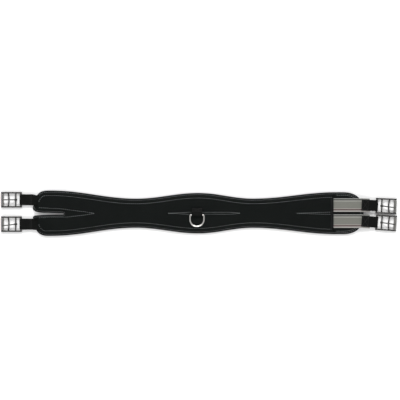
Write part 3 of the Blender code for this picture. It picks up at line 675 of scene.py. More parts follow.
def cloth_sheet(name, rim, start, end, height, thickness, outward, step=1.5 * MM):
    """A sheet over the body between two x, at height(x, y, distance in), facing up or down."""
    xs = sheet_rows(start, end, step)
    slit_shut = smooth_step(SLIT_END + rim, SLIT_END + rim + 10 * MM, xs)
    low, high = slit_edges(xs, rim)
    low = low * (1 - slit_shut) - SHUT_HALF * slit_shut
    high = high * (1 - slit_shut) + SHUT_HALF * slit_shut
    nudge = np.where(xs < BODY_LEFT + rim + 0.2 * MM, 0.25 * MM, 0.0)
    nudge -= np.where(xs > BODY_RIGHT - rim - 0.2 * MM, 0.25 * MM, 0.0)
    outer = half_width(xs + nudge, rim)
    between = np.linspace(0, 1, MIDDLE_COLUMNS + 2)[1:-1]
    halves = []
    for side, inner in ((-1, low), (1, high)):
        edge = side * np.maximum(outer, side * inner + 1.5 * MM)
        squeeze = np.minimum(1.0, np.abs(edge - inner) / (2.3 * RIM_COLUMNS[-1]))
        near = edge[:, None] - side * RIM_COLUMNS[None] * squeeze[:, None]
        far = inner[:, None] + side * RIM_COLUMNS[None, ::-1] * squeeze[:, None]
        line = np.hstack([near, near[:, -1:] + (far[:, :1] - near[:, -1:]) * between[None], far])
        halves.append(line[:, ::-side])
    ys = np.hstack(halves)
    grid_x = np.repeat(xs[:, None], ys.shape[1], axis=1)
    inside = distance_to(OUTLINE, grid_x, ys, closed=True)
    points = columns(grid_x, ys, height(grid_x, ys, inside)).reshape(-1, 3)
    number = np.arange(ys.size).reshape(ys.shape)
    quads = np.stack([number[:-1, :-1], number[1:, :-1], number[1:, 1:], number[:-1, 1:]], -1)
    keep = np.ones(quads.shape[:2], bool)
    keep[:, ys.shape[1] // 2 - 1] = xs[:-1] >= SLIT_END + rim - 0.01 * MM
    faces = quads[keep][:, ::outward]
    piece = new_mesh(name, points, faces.tolist(), points[:, :2], turn_out=False)
    solid = piece.modifiers.new("cloth_thickness", "SOLIDIFY")
    solid.thickness = thickness
    solid.offset = -1.0
    return piece


def dress(piece, material, body, slot, *nodes):
    """Gives a piece its material, the body that it rides on, and the frame's nodes that it stands for."""
    piece.data.materials.clear()
    piece.data.materials.append(material)
    if body:
        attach(piece, body)
    if nodes:
        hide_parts(*nodes)
    return piece


print("columns across a sheet:", 2 * (2 * len(RIM_COLUMNS) + MIDDLE_COLUMNS))

# %% [markdown]
# ## The quilted cover
#
# The cover is pulled over foam and two straps and sewn through. Each row of stitching pulls the cloth
# into a narrow valley, and each stitch pulls a little harder than the gap after it, so the valley is
# pinched at the stitch pitch and small wrinkles run out from it. Between the rows the padding swells.
# At each finger's end the cloth turns down behind the webbing that comes out there.

# %% Cover
FACE_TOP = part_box("face_cover")[1][2]
FLAP_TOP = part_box("flap_cover")[1][2]
STITCH_PITCH = 4.5 * MM
COVER_INSET, LINING_INSET = mm(2.6, 1.6)
PAD_START, PAD_ROLL, PAD_EDGE_Z = mm(2.5, 10.0, 4.3)
SEAM_SHARP = 0.25 * MM  # how round the bottom of a sewn valley is
COVER_DIP, FLAP_DIP, FINGER_DIP, HEM_DIP = mm(2.3, 0.9, 1.4, 0.5)
STRAP_MOUTHS = {"upper": mm(30.5, 26.6), "lower": mm(-24.9, -26.6)}
MOUTH_END, MOUTH_HALF, MOUTH_Z = BODY_LEFT + 11.0 * MM, 12.9 * MM, 2.75 * MM
dice = np.random.default_rng(7)
WRINKLES = [(dice.uniform(90, 420), dice.uniform(0, 6.28), dice.uniform(-0.5, 0.5)) for _ in range(14)]


def valley(gap, width, depth):
    """How far the cloth dips at a distance from a row of stitching."""
    return depth * np.exp(-(np.sqrt(gap**2 + SEAM_SHARP**2) - SEAM_SHARP) / width)


def wrinkle(x, y):
    """A gentle uneven ripple, from waves that mostly run along the girth."""
    total = sum(np.sin(k * x + 160.0 * lean * y + phase) for k, phase, lean in WRINKLES)
    return total / math.sqrt(len(WRINKLES))


def strap_middle(x, at_end, inside):
    """The y of a left strap's middle line, which drifts a little as the strap leaves its finger."""
    return at_end + (inside - at_end) * smooth_step(BODY_LEFT - 3 * MM, FINGER_SEAM + 4 * MM, x)


def in_mouth(x, y):
    """1 where a strap comes out of a finger's end, 0 elsewhere."""
    found = np.zeros(np.shape(x))
    along = 1.0 - smooth_step(MOUTH_END - 0.8 * MM, MOUTH_END + 0.8 * MM, x)
    for at_end, inside in STRAP_MOUTHS.values():
        off = np.abs(y - strap_middle(x, at_end, inside))
        across = 1.0 - smooth_step(MOUTH_HALF - 0.2 * MM, MOUTH_HALF + 1.1 * MM, off)
        found = np.maximum(found, across * along)
    return found


def gap_to(lines, x, y):
    return np.min([distance_to(line, x, y) for line in lines], axis=0)


def padded_rise(inside, roll, power):
    """How the padding rises from the edge, from 0 there to 1 on top."""
    return 1.0 - (1.0 - np.clip((inside - PAD_START) / roll, 0.0, 1.0)) ** power


RIM_SEAMS, INNER_SEAMS = [[even(line, 2 * MM) for line in lines] for lines in (RIM_LINES, INNER_LINES)]


def cover_height(x, y, inside):
    """The padded surface: a rim that rolls to the edge, valleys at the rows, and swelling between."""
    top = FACE_TOP - 0.6 * MM
    z = PAD_EDGE_Z + (top - PAD_EDGE_Z) * padded_rise(inside, PAD_ROLL, 2.6)
    rim_gap, inner_gap = gap_to(RIM_SEAMS, x, y), gap_to(INNER_SEAMS, x, y)
    pinch = 0.5 + 0.5 * np.cos(2 * math.pi * x / STITCH_PITCH)
    z = z - valley(rim_gap, 1.5 * MM, COVER_DIP) * (0.86 + 0.14 * pinch)
    z = z - valley(inner_gap, 1.3 * MM, COVER_DIP * 0.75) * (0.84 + 0.16 * pinch)
    nearest = np.minimum(rim_gap, inner_gap)
    puckers = np.exp(-((nearest / (4.5 * MM)) ** 2)) * smooth_step(0.3 * MM, 1.8 * MM, nearest)
    z = z + wrinkle(x, y) * (0.10 * MM + 0.16 * MM * puckers) * smooth_step(3 * MM, 8 * MM, inside)
    swell = np.sin(math.pi * np.clip(nearest / (12 * MM), 0, 0.5))
    z = z + 0.5 * MM * swell * smooth_step(6 * MM, 14 * MM, inside)
    beside_slit = smooth_step(1.0 * MM, 2.0 * MM, np.abs(y - SLIT_OFFSET) - 4 * MM)
    z = z - valley(np.abs(x - FINGER_SEAM), 1.4 * MM, FINGER_DIP) * beside_slit
    z = z - smooth_step(HEM_X - 3.0 * MM, HEM_X, x) * HEM_DIP
    beside = smooth_step(34.4 * MM, 37.5 * MM, np.abs(y)) * smooth_step(HEM_X - 9 * MM, HEM_X - 1 * MM, x)
    z = z + (np.minimum(z, FLAP_TOP + 0.1 * MM) - z) * beside
    mouth = in_mouth(x, y)
    return z * (1 - mouth) + MOUTH_Z * mouth


cover = cloth_sheet(
    "quilted_cover", COVER_INSET, BODY_LEFT + COVER_INSET, HEM_X, cover_height, 0.9 * MM, 1
)
dress(cover, COVER_CLOTH, "girth", "cover_fabric", "face_cover", "foam_core")
print("cover points:", len(cover.data.vertices))

# %% [markdown]
# ## The lining and the flap
#
# The lining is the flat side that lies on the horse, so its padding only bulges a little between the
# rows, and its border turns up towards the binding. The flap is the padded tongue of the body that
# carries on behind the elastic straps. It is thinner than the body and has its own rows of stitching.

# %% Lining and flap
LINING_LOW, BORDER_RISE = mm(0.08, 1.2)
FLAP_INNER_ROW = 7.0 * MM
FLAP_SEAM = inset_line(FLAP_INNER_ROW, lambda x, y: x > HEM_X + 6 * MM)
FLAP_SEAMS = [even(line, 2 * MM) for line in FLAP_SEAM]


def lining_height(x, y, inside):
    z = LINING_LOW + BORDER_RISE * (1.0 - smooth_step(2.5 * MM, 9.0 * MM, inside))
    z = z + valley(gap_to(RIM_SEAMS, x, y), 1.6 * MM, 0.5 * MM)
    z = z + valley(gap_to(INNER_SEAMS, x, y), 1.4 * MM, 0.4 * MM)
    return z + 0.08 * MM * (1.0 + wrinkle(x, y)) * smooth_step(4 * MM, 9 * MM, inside)


def flap_height(x, y, inside):
    top = FLAP_TOP - 0.35 * MM
    z = PAD_EDGE_Z + (top - PAD_EDGE_Z) * padded_rise(inside, 9.0 * MM, 2.2)
    z = z - valley(gap_to(FLAP_SEAMS, x, y), 1.2 * MM, FLAP_DIP)
    return z + 0.12 * MM * wrinkle(x, y) * smooth_step(5 * MM, 10 * MM, inside)


lining = cloth_sheet(
    "soft_lining", LINING_INSET, BODY_LEFT + LINING_INSET, BODY_RIGHT - LINING_INSET,
    lining_height, 0.8 * MM, -1, step=2.5 * MM,
)
dress(lining, LINING_CLOTH, "girth", "lining_fabric", "lining")
flap = cloth_sheet(
    "flap_cover_cloth", COVER_INSET, HEM_X - 1.0 * MM, BODY_RIGHT - COVER_INSET, flap_height, 0.8 * MM, 1
)
dress(flap, COVER_CLOTH, "girth", "cover_fabric", "flap_cover")
print("flap rows:", len(FLAP_SEAM))

# %% [markdown]
# ## Swept strips
#
# The binding, the tape at the hem, the straps and the elastics are all one section carried along a
# path. One helper does it: it takes rings of points and joins each to the next, closed round or capped
# at both ends. The map follows the path, so ribs and stripes run the right way on every strip.

# %% Strip maker
def strip_mesh(name, rings, across, closed=False):
    """Joins rings of points (rings, points, 3) into a mesh. across is each point's place over the strip."""
    rings = np.asarray(rings, float)
    count, size = rings.shape[:2]
    steps = np.linalg.norm(np.diff(rings.mean(1), axis=0), axis=1)
    along = np.concatenate([[0.0], np.cumsum(steps)])
    number = np.arange(count * size).reshape(count, size)
    beside = np.roll(number, -1, axis=1)
    after, beside_after = np.roll(number, -1, axis=0), np.roll(beside, -1, axis=0)
    sides = np.stack([number, after, beside_after, beside], -1)
    faces = sides[: count if closed else count - 1].reshape(-1, 4).tolist()
    if not closed:
        faces += [number[0].tolist(), number[-1][::-1].tolist()]
    flat = columns(np.repeat(along, size), np.tile(np.asarray(across, float), count))
    return new_mesh(name, rings.reshape(-1, 3), faces, flat)


def strap_section(width, thickness):
    """A flat strap's section as (across, up) points: flat faces and round edges."""
    edge = thickness / 2
    turn = np.radians(np.linspace(-90, 90, 7))
    flat = np.linspace(-1, 1, 13)[1:-1] * (width / 2 - edge)
    right = columns(width / 2 - edge + edge * np.cos(turn), edge * np.sin(turn))
    return np.vstack([right, columns(flat[::-1], edge), -right, columns(flat, -edge)])


def strap(name, path, middles, width, thickness, turn=0.0, pivot=(0.0, 0.0), slack=0.0):
    """A strap along (x, z) points with a y middle for each, turned about pivot at the end."""
    path = np.asarray(path, float)
    ahead = unit(np.gradient(path, axis=0))
    section = strap_section(width, thickness)
    lift = slack * np.sin(np.arange(len(path)) * 1.7)
    x = path[:, None, 0] - ahead[:, None, 1] * section[None, :, 1]
    y = np.broadcast_to(middles, len(path))[:, None] + section[None, :, 0]
    z = path[:, None, 1] + ahead[:, None, 0] * section[None, :, 1] + lift[:, None]
    cos, sin = math.cos(turn), math.sin(turn)
    rings = columns(pivot[0] + x * cos - y * sin, pivot[1] + x * sin + y * cos, z)
    return strip_mesh(name, rings, section[:, 0])


print("points in a strap's section:", len(strap_section(25 * MM, 1.5 * MM)))

# %% [markdown]
# ## The edge binding
#
# A narrow tape is folded over all the raw edges, from the lining, round the outline and through the
# slit. It is sewn down close to its inner edge, so it puffs up between the stitching and the fold. The
# tape is carried along the outline in one closed loop. It lies lower where a strap crosses over it.

# %% Binding
BINDING_LOW, BINDING_HIGH, BINDING_UNDER_STRAP = mm(0.1, 5.75, 2.5)
BINDING_SECTION = np.array([
    # in from the edge in millimetres, share of the height
    (5.0, 0.74), (4.6, 0.80), (4.1, 0.84), (3.6, 0.845), (3.0, 0.93), (2.2, 1.0), (1.4, 0.97), (0.7, 0.86),
    (0.2, 0.68), (0.0, 0.48), (0.2, 0.28), (0.7, 0.12), (1.5, 0.03), (2.6, 0.0), (3.8, 0.02), (4.8, 0.06),
    (4.9, 0.20), (3.2, 0.24), (2.0, 0.34), (1.5, 0.48), (2.0, 0.64), (3.2, 0.66), (4.4, 0.62),
])
SLIT_NARROWING = 0.12


def binding_rings():
    line = even(OUTLINE, 1.5 * MM, closed=True)
    inward = inward_of(line)
    for _ in range(2):
        inward = inward + np.roll(inward, 1, axis=0) + np.roll(inward, -1, axis=0)
    inward = unit(inward)
    in_slit = smooth_step(0, 3 * MM, SLIT_END + 1 * MM - line[:, 0])
    in_slit = in_slit * (np.abs(line[:, 1] - SLIT_OFFSET) < 9 * MM)
    waves = np.random.default_rng(11).uniform(0.05, 1.2, (9, 2))
    uneven = sum(np.sin(np.arange(len(line)) * rate + start) for rate, start in waves) / 3
    inset = BINDING_SECTION[None, :, 0] * MM * (1.0 - SLIT_NARROWING * in_slit)[:, None]
    reach = line + inward * 2 * MM
    lowered = in_mouth(reach[:, 0], reach[:, 1])
    high = (BINDING_HIGH + 0.12 * MM * uneven) * (1 - lowered) + BINDING_UNDER_STRAP * lowered
    flat = line[:, None] + inward[:, None] * inset[..., None]
    z = BINDING_LOW + BINDING_SECTION[None, :, 1] * (high - BINDING_LOW)[:, None]
    return columns(flat[..., 0], flat[..., 1], z)


across_steps = np.hypot(*np.diff(BINDING_SECTION * (MM, BINDING_HIGH - BINDING_LOW), axis=0).T)
across_binding = np.concatenate([[0], np.cumsum(across_steps)])
binding = strip_mesh("edge_binding_tape", binding_rings(), across_binding, closed=True)
dress(binding, BINDING_CLOTH, "girth", "binding_tape", "edge_binding")
print("binding points:", len(binding.data.vertices))

# %% [markdown]
# ## The webbing at the left end
#
# Each load strap runs the whole length inside the body and comes out of a finger's end. There it goes
# round the buckle's bar, comes back on top of itself and goes into the finger again, where the same
# stitching that closes the finger holds both layers. Only the loop shows, so only the loop is made.

# %% Left straps
STRAP_WIDTH, STRAP_THICK, STRAP_SLACK = mm(25.0, 1.5, 0.03)
BAR_Z, LOOP_RADIUS = mm(3.6, 2.75)
LEFT_BAR_X = -404.4 * MM


def arc(centre, radius, start, end, steps=17):
    turn = np.radians(np.linspace(start, end, steps))
    return [(centre[0] + radius * math.cos(a), centre[1] + radius * math.sin(a)) for a in turn]


def dense(points, step=0.8 * MM, soften=3):
    """A path with even points and gently rounded bends."""
    line = even(np.array(points), step)
    for _ in range(soften):
        line[1:-1] = (line[:-2] + 2 * line[1:-1] + line[2:]) / 4
    return line


left_path = dense([
    mm(-361.5, 3.65), mm(-380.8, 3.65),
    *arc((LEFT_BAR_X, BAR_Z), LOOP_RADIUS, -83.3, -272.2),
    mm(-380.8, 5.45), mm(-371.8, 5.45), mm(-361.5, 7.75),
])
left_straps = {}
for side, (at_end, inside) in STRAP_MOUTHS.items():
    middles = strap_middle(left_path[:, 0], at_end, inside)
    made = strap(f"{side}_left_webbing", left_path, middles, STRAP_WIDTH, STRAP_THICK, slack=STRAP_SLACK)
    left_straps[side] = dress(made, WEBBING_CLOTH, "girth", "webbing", f"{side}_webbing_strap")
print("left webbing loops:", list(left_straps))

# %% [markdown]
# ## The elastic straps
#
# At the right end the load straps stop under the hem, and each is sewn to a striped elastic. The elastic
# is the part that gives when the horse breathes, so it stretches between the body and the buckle tab.
# Its mesh starts at the body's height at the hem, ends at the tab's height at the other end and turns
# smoothly between them. It rides on no body.

# %% Elastics
RIGHT_SIDES = {
    "upper": {"middle": 18.5 * MM, "yaw": math.radians(-2.2)},
    "lower": {"middle": -17.9 * MM, "yaw": math.radians(-4.2)},
}
TAB_START = 368.7 * MM
ELASTIC_THICK = 1.3 * MM
ELASTIC_LOWS = ((296.0, 9.1), (348.2, 9.1), (359.2, 8.8), (367.7, 7.8), (375.2, 7.8), (387.6, 4.85))

elastic_line = [(x * MM, low * MM + ELASTIC_THICK / 2) for x, low in ELASTIC_LOWS]
elastic_path = dense(elastic_line, step=1.2 * MM, soften=2)
elastics = {}
for side, facts in RIGHT_SIDES.items():
    middles = facts["middle"] + np.maximum(elastic_path[:, 0] - TAB_START, 0.0) * math.tan(facts["yaw"])
    made = strap(f"{side}_striped_elastic", elastic_path, middles, ELASTIC_WIDTH, ELASTIC_THICK)
    for corner in made.data.uv_layers["laid"].data:
        corner.uv = (corner.uv[0], ELASTIC_WIDTH / 2 - corner.uv[1])
    dress(made, STRIPED_ELASTIC, None, "elastic", f"{side}_elastic")
    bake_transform(made)
    elastics[side] = made
print("elastics:", {side: len(made.data.vertices) for side, made in elastics.items()})

# %% [markdown]
# ## The webbing tabs on the right
#
# A short length of webbing is folded round each right buckle's bar, and the elastic's end is laid
# between its two layers and sewn through. The tab rides on its own tab body. Each is turned a few
# degrees, as it lies when the girth is put down.

# %% Right tabs
TAB_REACH = 34.8 * MM
tab_path = dense([
    mm(0.0, 10.45), mm(6.5, 10.45), mm(19.3, 7.35),
    *arc((TAB_REACH, BAR_Z), LOOP_RADIUS, 96.0, -96.0),
    mm(19.3, 3.35), mm(6.5, 6.45), mm(0.0, 6.45),
])
tabs = {}
for side, facts in RIGHT_SIDES.items():
    made = strap(
        f"{side}_tab_webbing", tab_path, 0.0, STRAP_WIDTH, STRAP_THICK,
        turn=facts["yaw"], pivot=(TAB_START, facts["middle"]), slack=STRAP_SLACK,
    )
    tabs[side] = dress(made, WEBBING_CLOTH, f"{side}_right_tab", "webbing", f"{side}_right_tab")
print("tabs:", list(tabs))

# %% [markdown]
# ## The hem tape, the chape and the D-ring
#
# A tape covers the cut end of the cover where the elastics come out. In the middle of the girth a short
# piece of webbing, the chape, is sewn across the body and folded round the straight bar of a wire D-ring,
# which takes a breastplate strap. The ring is bent from round wire and rests on the cover.

# %% Hem, chape and ring
HEM_Z = 12.15 * MM
RING_X, RING_BAR_Y, RING_BAR_Z = mm(-4.5, -3.5, 15.5)
WIRE, RING_SPAN, RING_DROP, RING_CORNER = mm(1.8, 31.4, 26.0, 3.2)
RING_SLOPE = 1.3 * MM / RING_DROP
CHAPE_THICK, CHAPE_WIDTH, CHAPE_GAP = mm(1.0, 25.0, 0.3)

hem_low, hem_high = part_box("hem_tape")
hem_section = strap_section(hem_high[0] - hem_low[0], hem_high[2] - hem_low[2] - 0.1 * MM)
hem_y = np.linspace(hem_low[1], hem_high[1], 60)[:, None]
hem_rings = columns(
    (hem_low[0] + hem_high[0]) / 2 + hem_section[None, :, 0],
    hem_y,
    HEM_Z + 0.06 * MM * np.sin(hem_y * 700.0) + hem_section[None, :, 1],
)
hem = strip_mesh("hem_tape_cloth", hem_rings, hem_section[:, 0])
dress(hem, BINDING_CLOTH, "girth", "binding_tape", "hem_tape")


def make_chape():
    """The chape runs along y, so its path is drawn along x and then turned."""
    fold = arc((-RING_BAR_Y, RING_BAR_Z), WIRE + CHAPE_GAP + CHAPE_THICK / 2, 100.0, -90.0, 21)
    line = [mm(-11.6, 14.2), mm(-5.0, 14.25), *fold, mm(-11.6, 12.9)]
    path = dense(line, step=0.5 * MM, soften=2)
    return strap(
        "d_ring_chape_webbing", path, 0.0, CHAPE_WIDTH, CHAPE_THICK, turn=-math.pi / 2, pivot=(RING_X, 0.0)
    )


def wire_mesh(name, path, radius, sides=28, closed=False):
    """Round wire along a path of 3-D points that lies nearly flat."""
    path = np.asarray(path, float)
    ends_met = np.roll(path, -1, axis=0) - np.roll(path, 1, axis=0)
    ahead = unit(ends_met if closed else np.gradient(path, axis=0))
    side = unit(np.cross((0.0, 0.0, 1.0), ahead))
    up = np.cross(ahead, side)
    turn = np.linspace(0, 2 * math.pi, sides, endpoint=False)
    around = np.cos(turn)[None, :, None] * side[:, None] + np.sin(turn)[None, :, None] * up[:, None]
    rings = path[:, None] + np.broadcast_to(radius, len(path))[:, None, None] * around
    return strip_mesh(name, rings, turn * np.max(radius), closed=closed)


def make_ring():
    half = RING_SPAN / 2
    turn = np.linspace(0, math.pi, 40)
    bow = columns(half * np.cos(turn), half - RING_DROP - half * np.sin(turn))
    turn = np.linspace(0, math.pi / 2, 9)
    right = columns(half - RING_CORNER + RING_CORNER * np.sin(turn), RING_CORNER * (np.cos(turn) - 1))
    left = right[::-1] * (-1, 1)
    flat = even(np.vstack([[(0.0, 0.0)], right, bow, left]), 0.7 * MM, closed=True)
    tilt = math.asin(RING_SLOPE)
    y, z = RING_BAR_Y + flat[:, 1] * math.cos(tilt), RING_BAR_Z + flat[:, 1] * math.sin(tilt)
    path = columns(RING_X + flat[:, 0], y, z)
    return wire_mesh("wire_d_ring", path, WIRE, closed=True)


chape = dress(make_chape(), WEBBING_CLOTH, "girth", "webbing", "d_ring_chape")
d_ring = dress(make_ring(), RING_STEEL, "d_ring", "ring_steel", "d_ring")
print("ring points:", len(d_ring.data.vertices))

# %% [markdown]
# ## The roller buckles
#
# A roller buckle is a cast and plated frame, a tube that turns on its outer bar so the billet strap runs
# easily, and a tongue bent from wire round the middle bar. The frame is joined from bars and then
# wrapped in an even skin and smoothed, which gives the soft joints of a casting. The roller has a bore
# and a seam. The tongue's eye and shank are joined and skinned in the same way.

# %% Buckle frame
BUCKLE_WIDE, SIDE_BAR, SIDE_HIGH, SIDE_LONG = mm(35.5, 3.6, 3.2, 47.6)
TONGUE_BAR_X, GUIDE_X, AXLE_X, FRAME_END = mm(12.0, 29.6, 42.3, 45.6)
BARS = (
    # place along the frame, radius, bow
    (0.0, 1.7 * MM, 0.0),
    (TONGUE_BAR_X, 1.5 * MM, 0.0),
    (GUIDE_X, 1.55 * MM, 2.2 * MM),
    (AXLE_X, 1.5 * MM, 0.0),
)


def cast(name, pieces, skin_size, rounds):
    """The pieces joined, wrapped in one even skin and smoothed: a mesh with no object."""
    joined = bmesh.new()
    for piece in pieces:
        joined.from_mesh(piece.data)
        bpy.data.objects.remove(piece)
    whole = add_piece(name, bpy.data.meshes.new(name + "_bars"))
    joined.to_mesh(whole.data)
    joined.free()
    skin = whole.modifiers.new("skin", "REMESH")
    skin.mode, skin.voxel_size = "VOXEL", skin_size
    even_out = whole.modifiers.new("even_out", "SMOOTH")
    even_out.factor, even_out.iterations = 0.5, rounds
    graph = bpy.context.evaluated_depsgraph_get()
    mesh = bpy.data.meshes.new_from_object(whole.evaluated_get(graph))
    bpy.data.objects.remove(whole)
    mesh.name = name
    mesh.shade_smooth()
    return mesh


def frame_mesh():
    shape = bmesh.new()
    side_y = BUCKLE_WIDE / 2 - SIDE_BAR / 2
    for side in (-1, 1):
        made = bmesh.ops.create_cube(shape, size=1.0)["verts"]
        for v in made:
            v.co.x = FRAME_END + (v.co.x - 0.5) * SIDE_LONG
            v.co.y = side * side_y + v.co.y * SIDE_BAR
            v.co.z = v.co.z * SIDE_HIGH
        edges = list({e for v in made for e in v.link_edges})
        bmesh.ops.bevel(shape, geom=edges, offset=1.25 * MM, segments=4, profile=0.6, affect="EDGES")
    sides = bpy.data.meshes.new("side_bars")
    shape.to_mesh(sides)
    shape.free()
    pieces = [add_piece("side_bars", sides)]
    shares = np.linspace(-1, 1, 33)
    for x, radius, bow in BARS:
        path = columns(x - bow * (1 - shares**2), shares * (side_y + 0.3 * MM), 0.0)
        pieces.append(wire_mesh("frame_bar", path, radius, sides=20))
    return cast("buckle_frame_cast", pieces, 0.38 * MM, 5)


shared_frame = frame_mesh()
print("frame faces:", len(shared_frame.polygons))

# %% [markdown]
# ### The roller and the tongue
#
# Both are turned shapes: a profile carried round the y axis. The roller's is a tube with softened ends,
# cut a little along one line, where the rolled sheet meets. The tongue's eye is a short ring, and its
# shank is wire that leans to one side on some buckles, as it falls when nothing holds it.

# %% Roller and tongue
ROLLER_RADIUS, ROLLER_LONG, ROLLER_BORE = mm(3.2, 26.9, 1.85)
SEAM_TURN, SEAM_HALF, SEAM_DEPTH = 3.75, 0.06, 0.22 * MM
EYE_INNER, EYE_OUTER, EYE_WIDE = mm(1.8, 3.3, 4.4)
TONGUE_WIRE, TONGUE_REACH, TONGUE_ROOT, TONGUE_TIP = mm(1.35, 30.3, 2.55, 4.85)
TONGUE_LEANS = {"upper_left": 0, "lower_left": 7, "upper_right": -6, "lower_right": -4}


def turned_ring(name, profile, sides, cut=0.0):
    """A profile of (y, radius) carried round the y axis, with a seam cut into its outside."""
    turn = np.linspace(0, 2 * math.pi, sides, endpoint=False)[:, None]
    y, radius = np.array(profile).T
    seam = np.where((np.abs(turn - SEAM_TURN) < SEAM_HALF) & (radius > 2.5 * MM), cut, 0.0)
    rings = columns((radius - seam) * np.cos(turn), y, (radius - seam) * np.sin(turn))
    return strip_mesh(name, rings, y, closed=True)


def roller_mesh():
    half = ROLLER_LONG / 2
    end = [
        (-half + 0.1 * MM, ROLLER_BORE), (-half, ROLLER_BORE + 0.3 * MM), (-half, ROLLER_RADIUS - 0.5 * MM),
        (-half + 0.15 * MM, ROLLER_RADIUS - 0.15 * MM), (-half + 0.5 * MM, ROLLER_RADIUS),
    ]
    middle = [(-half * 0.5, ROLLER_RADIUS), (half * 0.5, ROLLER_RADIUS)]
    piece = turned_ring("roller_tube", end + middle + [(-y, r) for y, r in end[::-1]], 60, SEAM_DEPTH)
    mesh = piece.data
    bpy.data.objects.remove(piece)
    mesh.set_sharp_from_angle(angle=math.radians(50))
    return mesh


def tongue_mesh(lean):
    face = EYE_WIDE / 2
    end = [
        (-face, EYE_INNER + 0.2 * MM), (-face, EYE_OUTER - 0.5 * MM),
        (-face + 0.15 * MM, EYE_OUTER - 0.15 * MM), (-face + 0.5 * MM, EYE_OUTER),
    ]
    bore = [(face - 0.3 * MM, EYE_INNER), (0.3 * MM - face, EYE_INNER)]
    eye = turned_ring("eye", end + [(-y, r) for y, r in end[::-1]] + bore, 48)
    line = dense([
        (0.9 * MM, TONGUE_ROOT), (0.25 * TONGUE_REACH, TONGUE_ROOT + 1.2 * MM),
        (0.6 * TONGUE_REACH, TONGUE_TIP - 0.5 * MM), (TONGUE_REACH - 1 * MM, TONGUE_TIP + 0.1 * MM),
        (TONGUE_REACH + 1.6 * MM, TONGUE_TIP),
    ], step=0.6 * MM, soften=6)
    share = np.linspace(0, 1, len(line))
    radius = TONGUE_WIRE * np.sqrt(np.clip(1 - ((share - 0.955) / 0.045).clip(0) ** 2, 0.02, 1))
    path = columns(line[:, 0] * math.cos(lean), line[:, 0] * math.sin(lean), line[:, 1])
    shank = wire_mesh("shank", path, radius, sides=24)
    return cast("buckle_tongue_wire", (eye, shank), 0.25 * MM, 3)


shared_roller = roller_mesh()
buckle_places = {side + "_left": (LEFT_BAR_X, at_end, math.pi) for side, (at_end, _) in STRAP_MOUTHS.items()}
for side, facts in RIGHT_SIDES.items():
    middle, yaw = facts["middle"], facts["yaw"]
    place = (TAB_START + TAB_REACH * math.cos(yaw), middle + TAB_REACH * math.sin(yaw), yaw)
    buckle_places[side + "_right"] = place

for place, (x, y, turn) in buckle_places.items():
    forward = Vector((math.cos(turn), math.sin(turn), 0.0))
    tongue = tongue_mesh(math.radians(TONGUE_LEANS[place]))
    parts = (
        ("frame_cast", shared_frame, 0.0, DARKENED_BUCKLE_STEEL, "buckle", "buckle_frame"),
        ("roller_tube", shared_roller, AXLE_X, DARKENED_ROLLER_STEEL, "roller", "roller"),
        ("tongue_wire", tongue, TONGUE_BAR_X, DARKENED_BUCKLE_STEEL, "tongue", "tongue"),
    )
    for label, mesh, reach, material, body, node in parts:
        piece = add_piece(f"{place}_{label}", mesh)
        piece.location = Vector((x, y, BAR_Z)) + forward * reach
        piece.rotation_euler = (0.0, 0.0, turn)
        dress(piece, material, f"{place}_{body}", "buckle_steel", f"{place}_{node}")
print("buckles:", list(buckle_places), "roller faces:", len(shared_roller.polygons))

# %% [markdown]
# ## Stitches
#
# Every row of sewing is made of single stitches: a short length of thread that bulges in the middle and
# dives into the cloth at both ends. They are laid by dropping each point of a stitch on the cloth that is
# already made, so the rows follow the valleys and the binding. All the stitches of one row set are one
# mesh.

# %% Stitch maker
STITCH_LONG, THREAD_RADIUS = mm(2.9, 0.36)
CAST_HEIGHT = 60 * MM
STEEPEST = 1.6 * MM  # a stitch whose ends differ more than this in height is left out
THREAD_SIDES = 8
STITCH_STEPS = np.linspace(-1, 1, 7)


def surface_of(*pieces):
    points, faces = [], []
    for piece in pieces:
        base = len(points)
        points += [piece.matrix_world @ v.co for v in piece.data.vertices]
        faces += [[base + i for i in p.vertices] for p in piece.data.polygons]
    return BVHTree.FromPolygons(points, faces)


def stitch_rings(middle, ahead, half, thread, surface, side):
    """The rings of one stitch laid on the surface, or None where it finds no even ground."""
    spots = middle[None] + STITCH_STEPS[:, None] * half * ahead[None]
    down = Vector((0, 0, -side))
    hits = [surface.ray_cast(Vector((*p, CAST_HEIGHT * side)), down)[0] for p in spots]
    if any(hit is None for hit in hits):
        return None
    ground = np.array([hit.z for hit in hits])
    if np.ptp(ground) > STEEPEST:
        return None
    bulge = thread * 0.55 - 1.25 * thread * np.abs(STITCH_STEPS) ** 3
    z = 0.5 * ground + 0.5 * ground.mean() + side * bulge
    fat = thread * np.sqrt(np.maximum(1 - (np.abs(STITCH_STEPS) * 0.96) ** 6, 0.05))
    turn = np.linspace(0, 2 * math.pi, THREAD_SIDES, endpoint=False)
    out, up = fat[:, None] * np.cos(turn), fat[:, None] * np.sin(turn) * 0.85
    return columns(spots[:, :1] - ahead[1] * out, spots[:, 1:] + ahead[0] * out, z[:, None] + up)


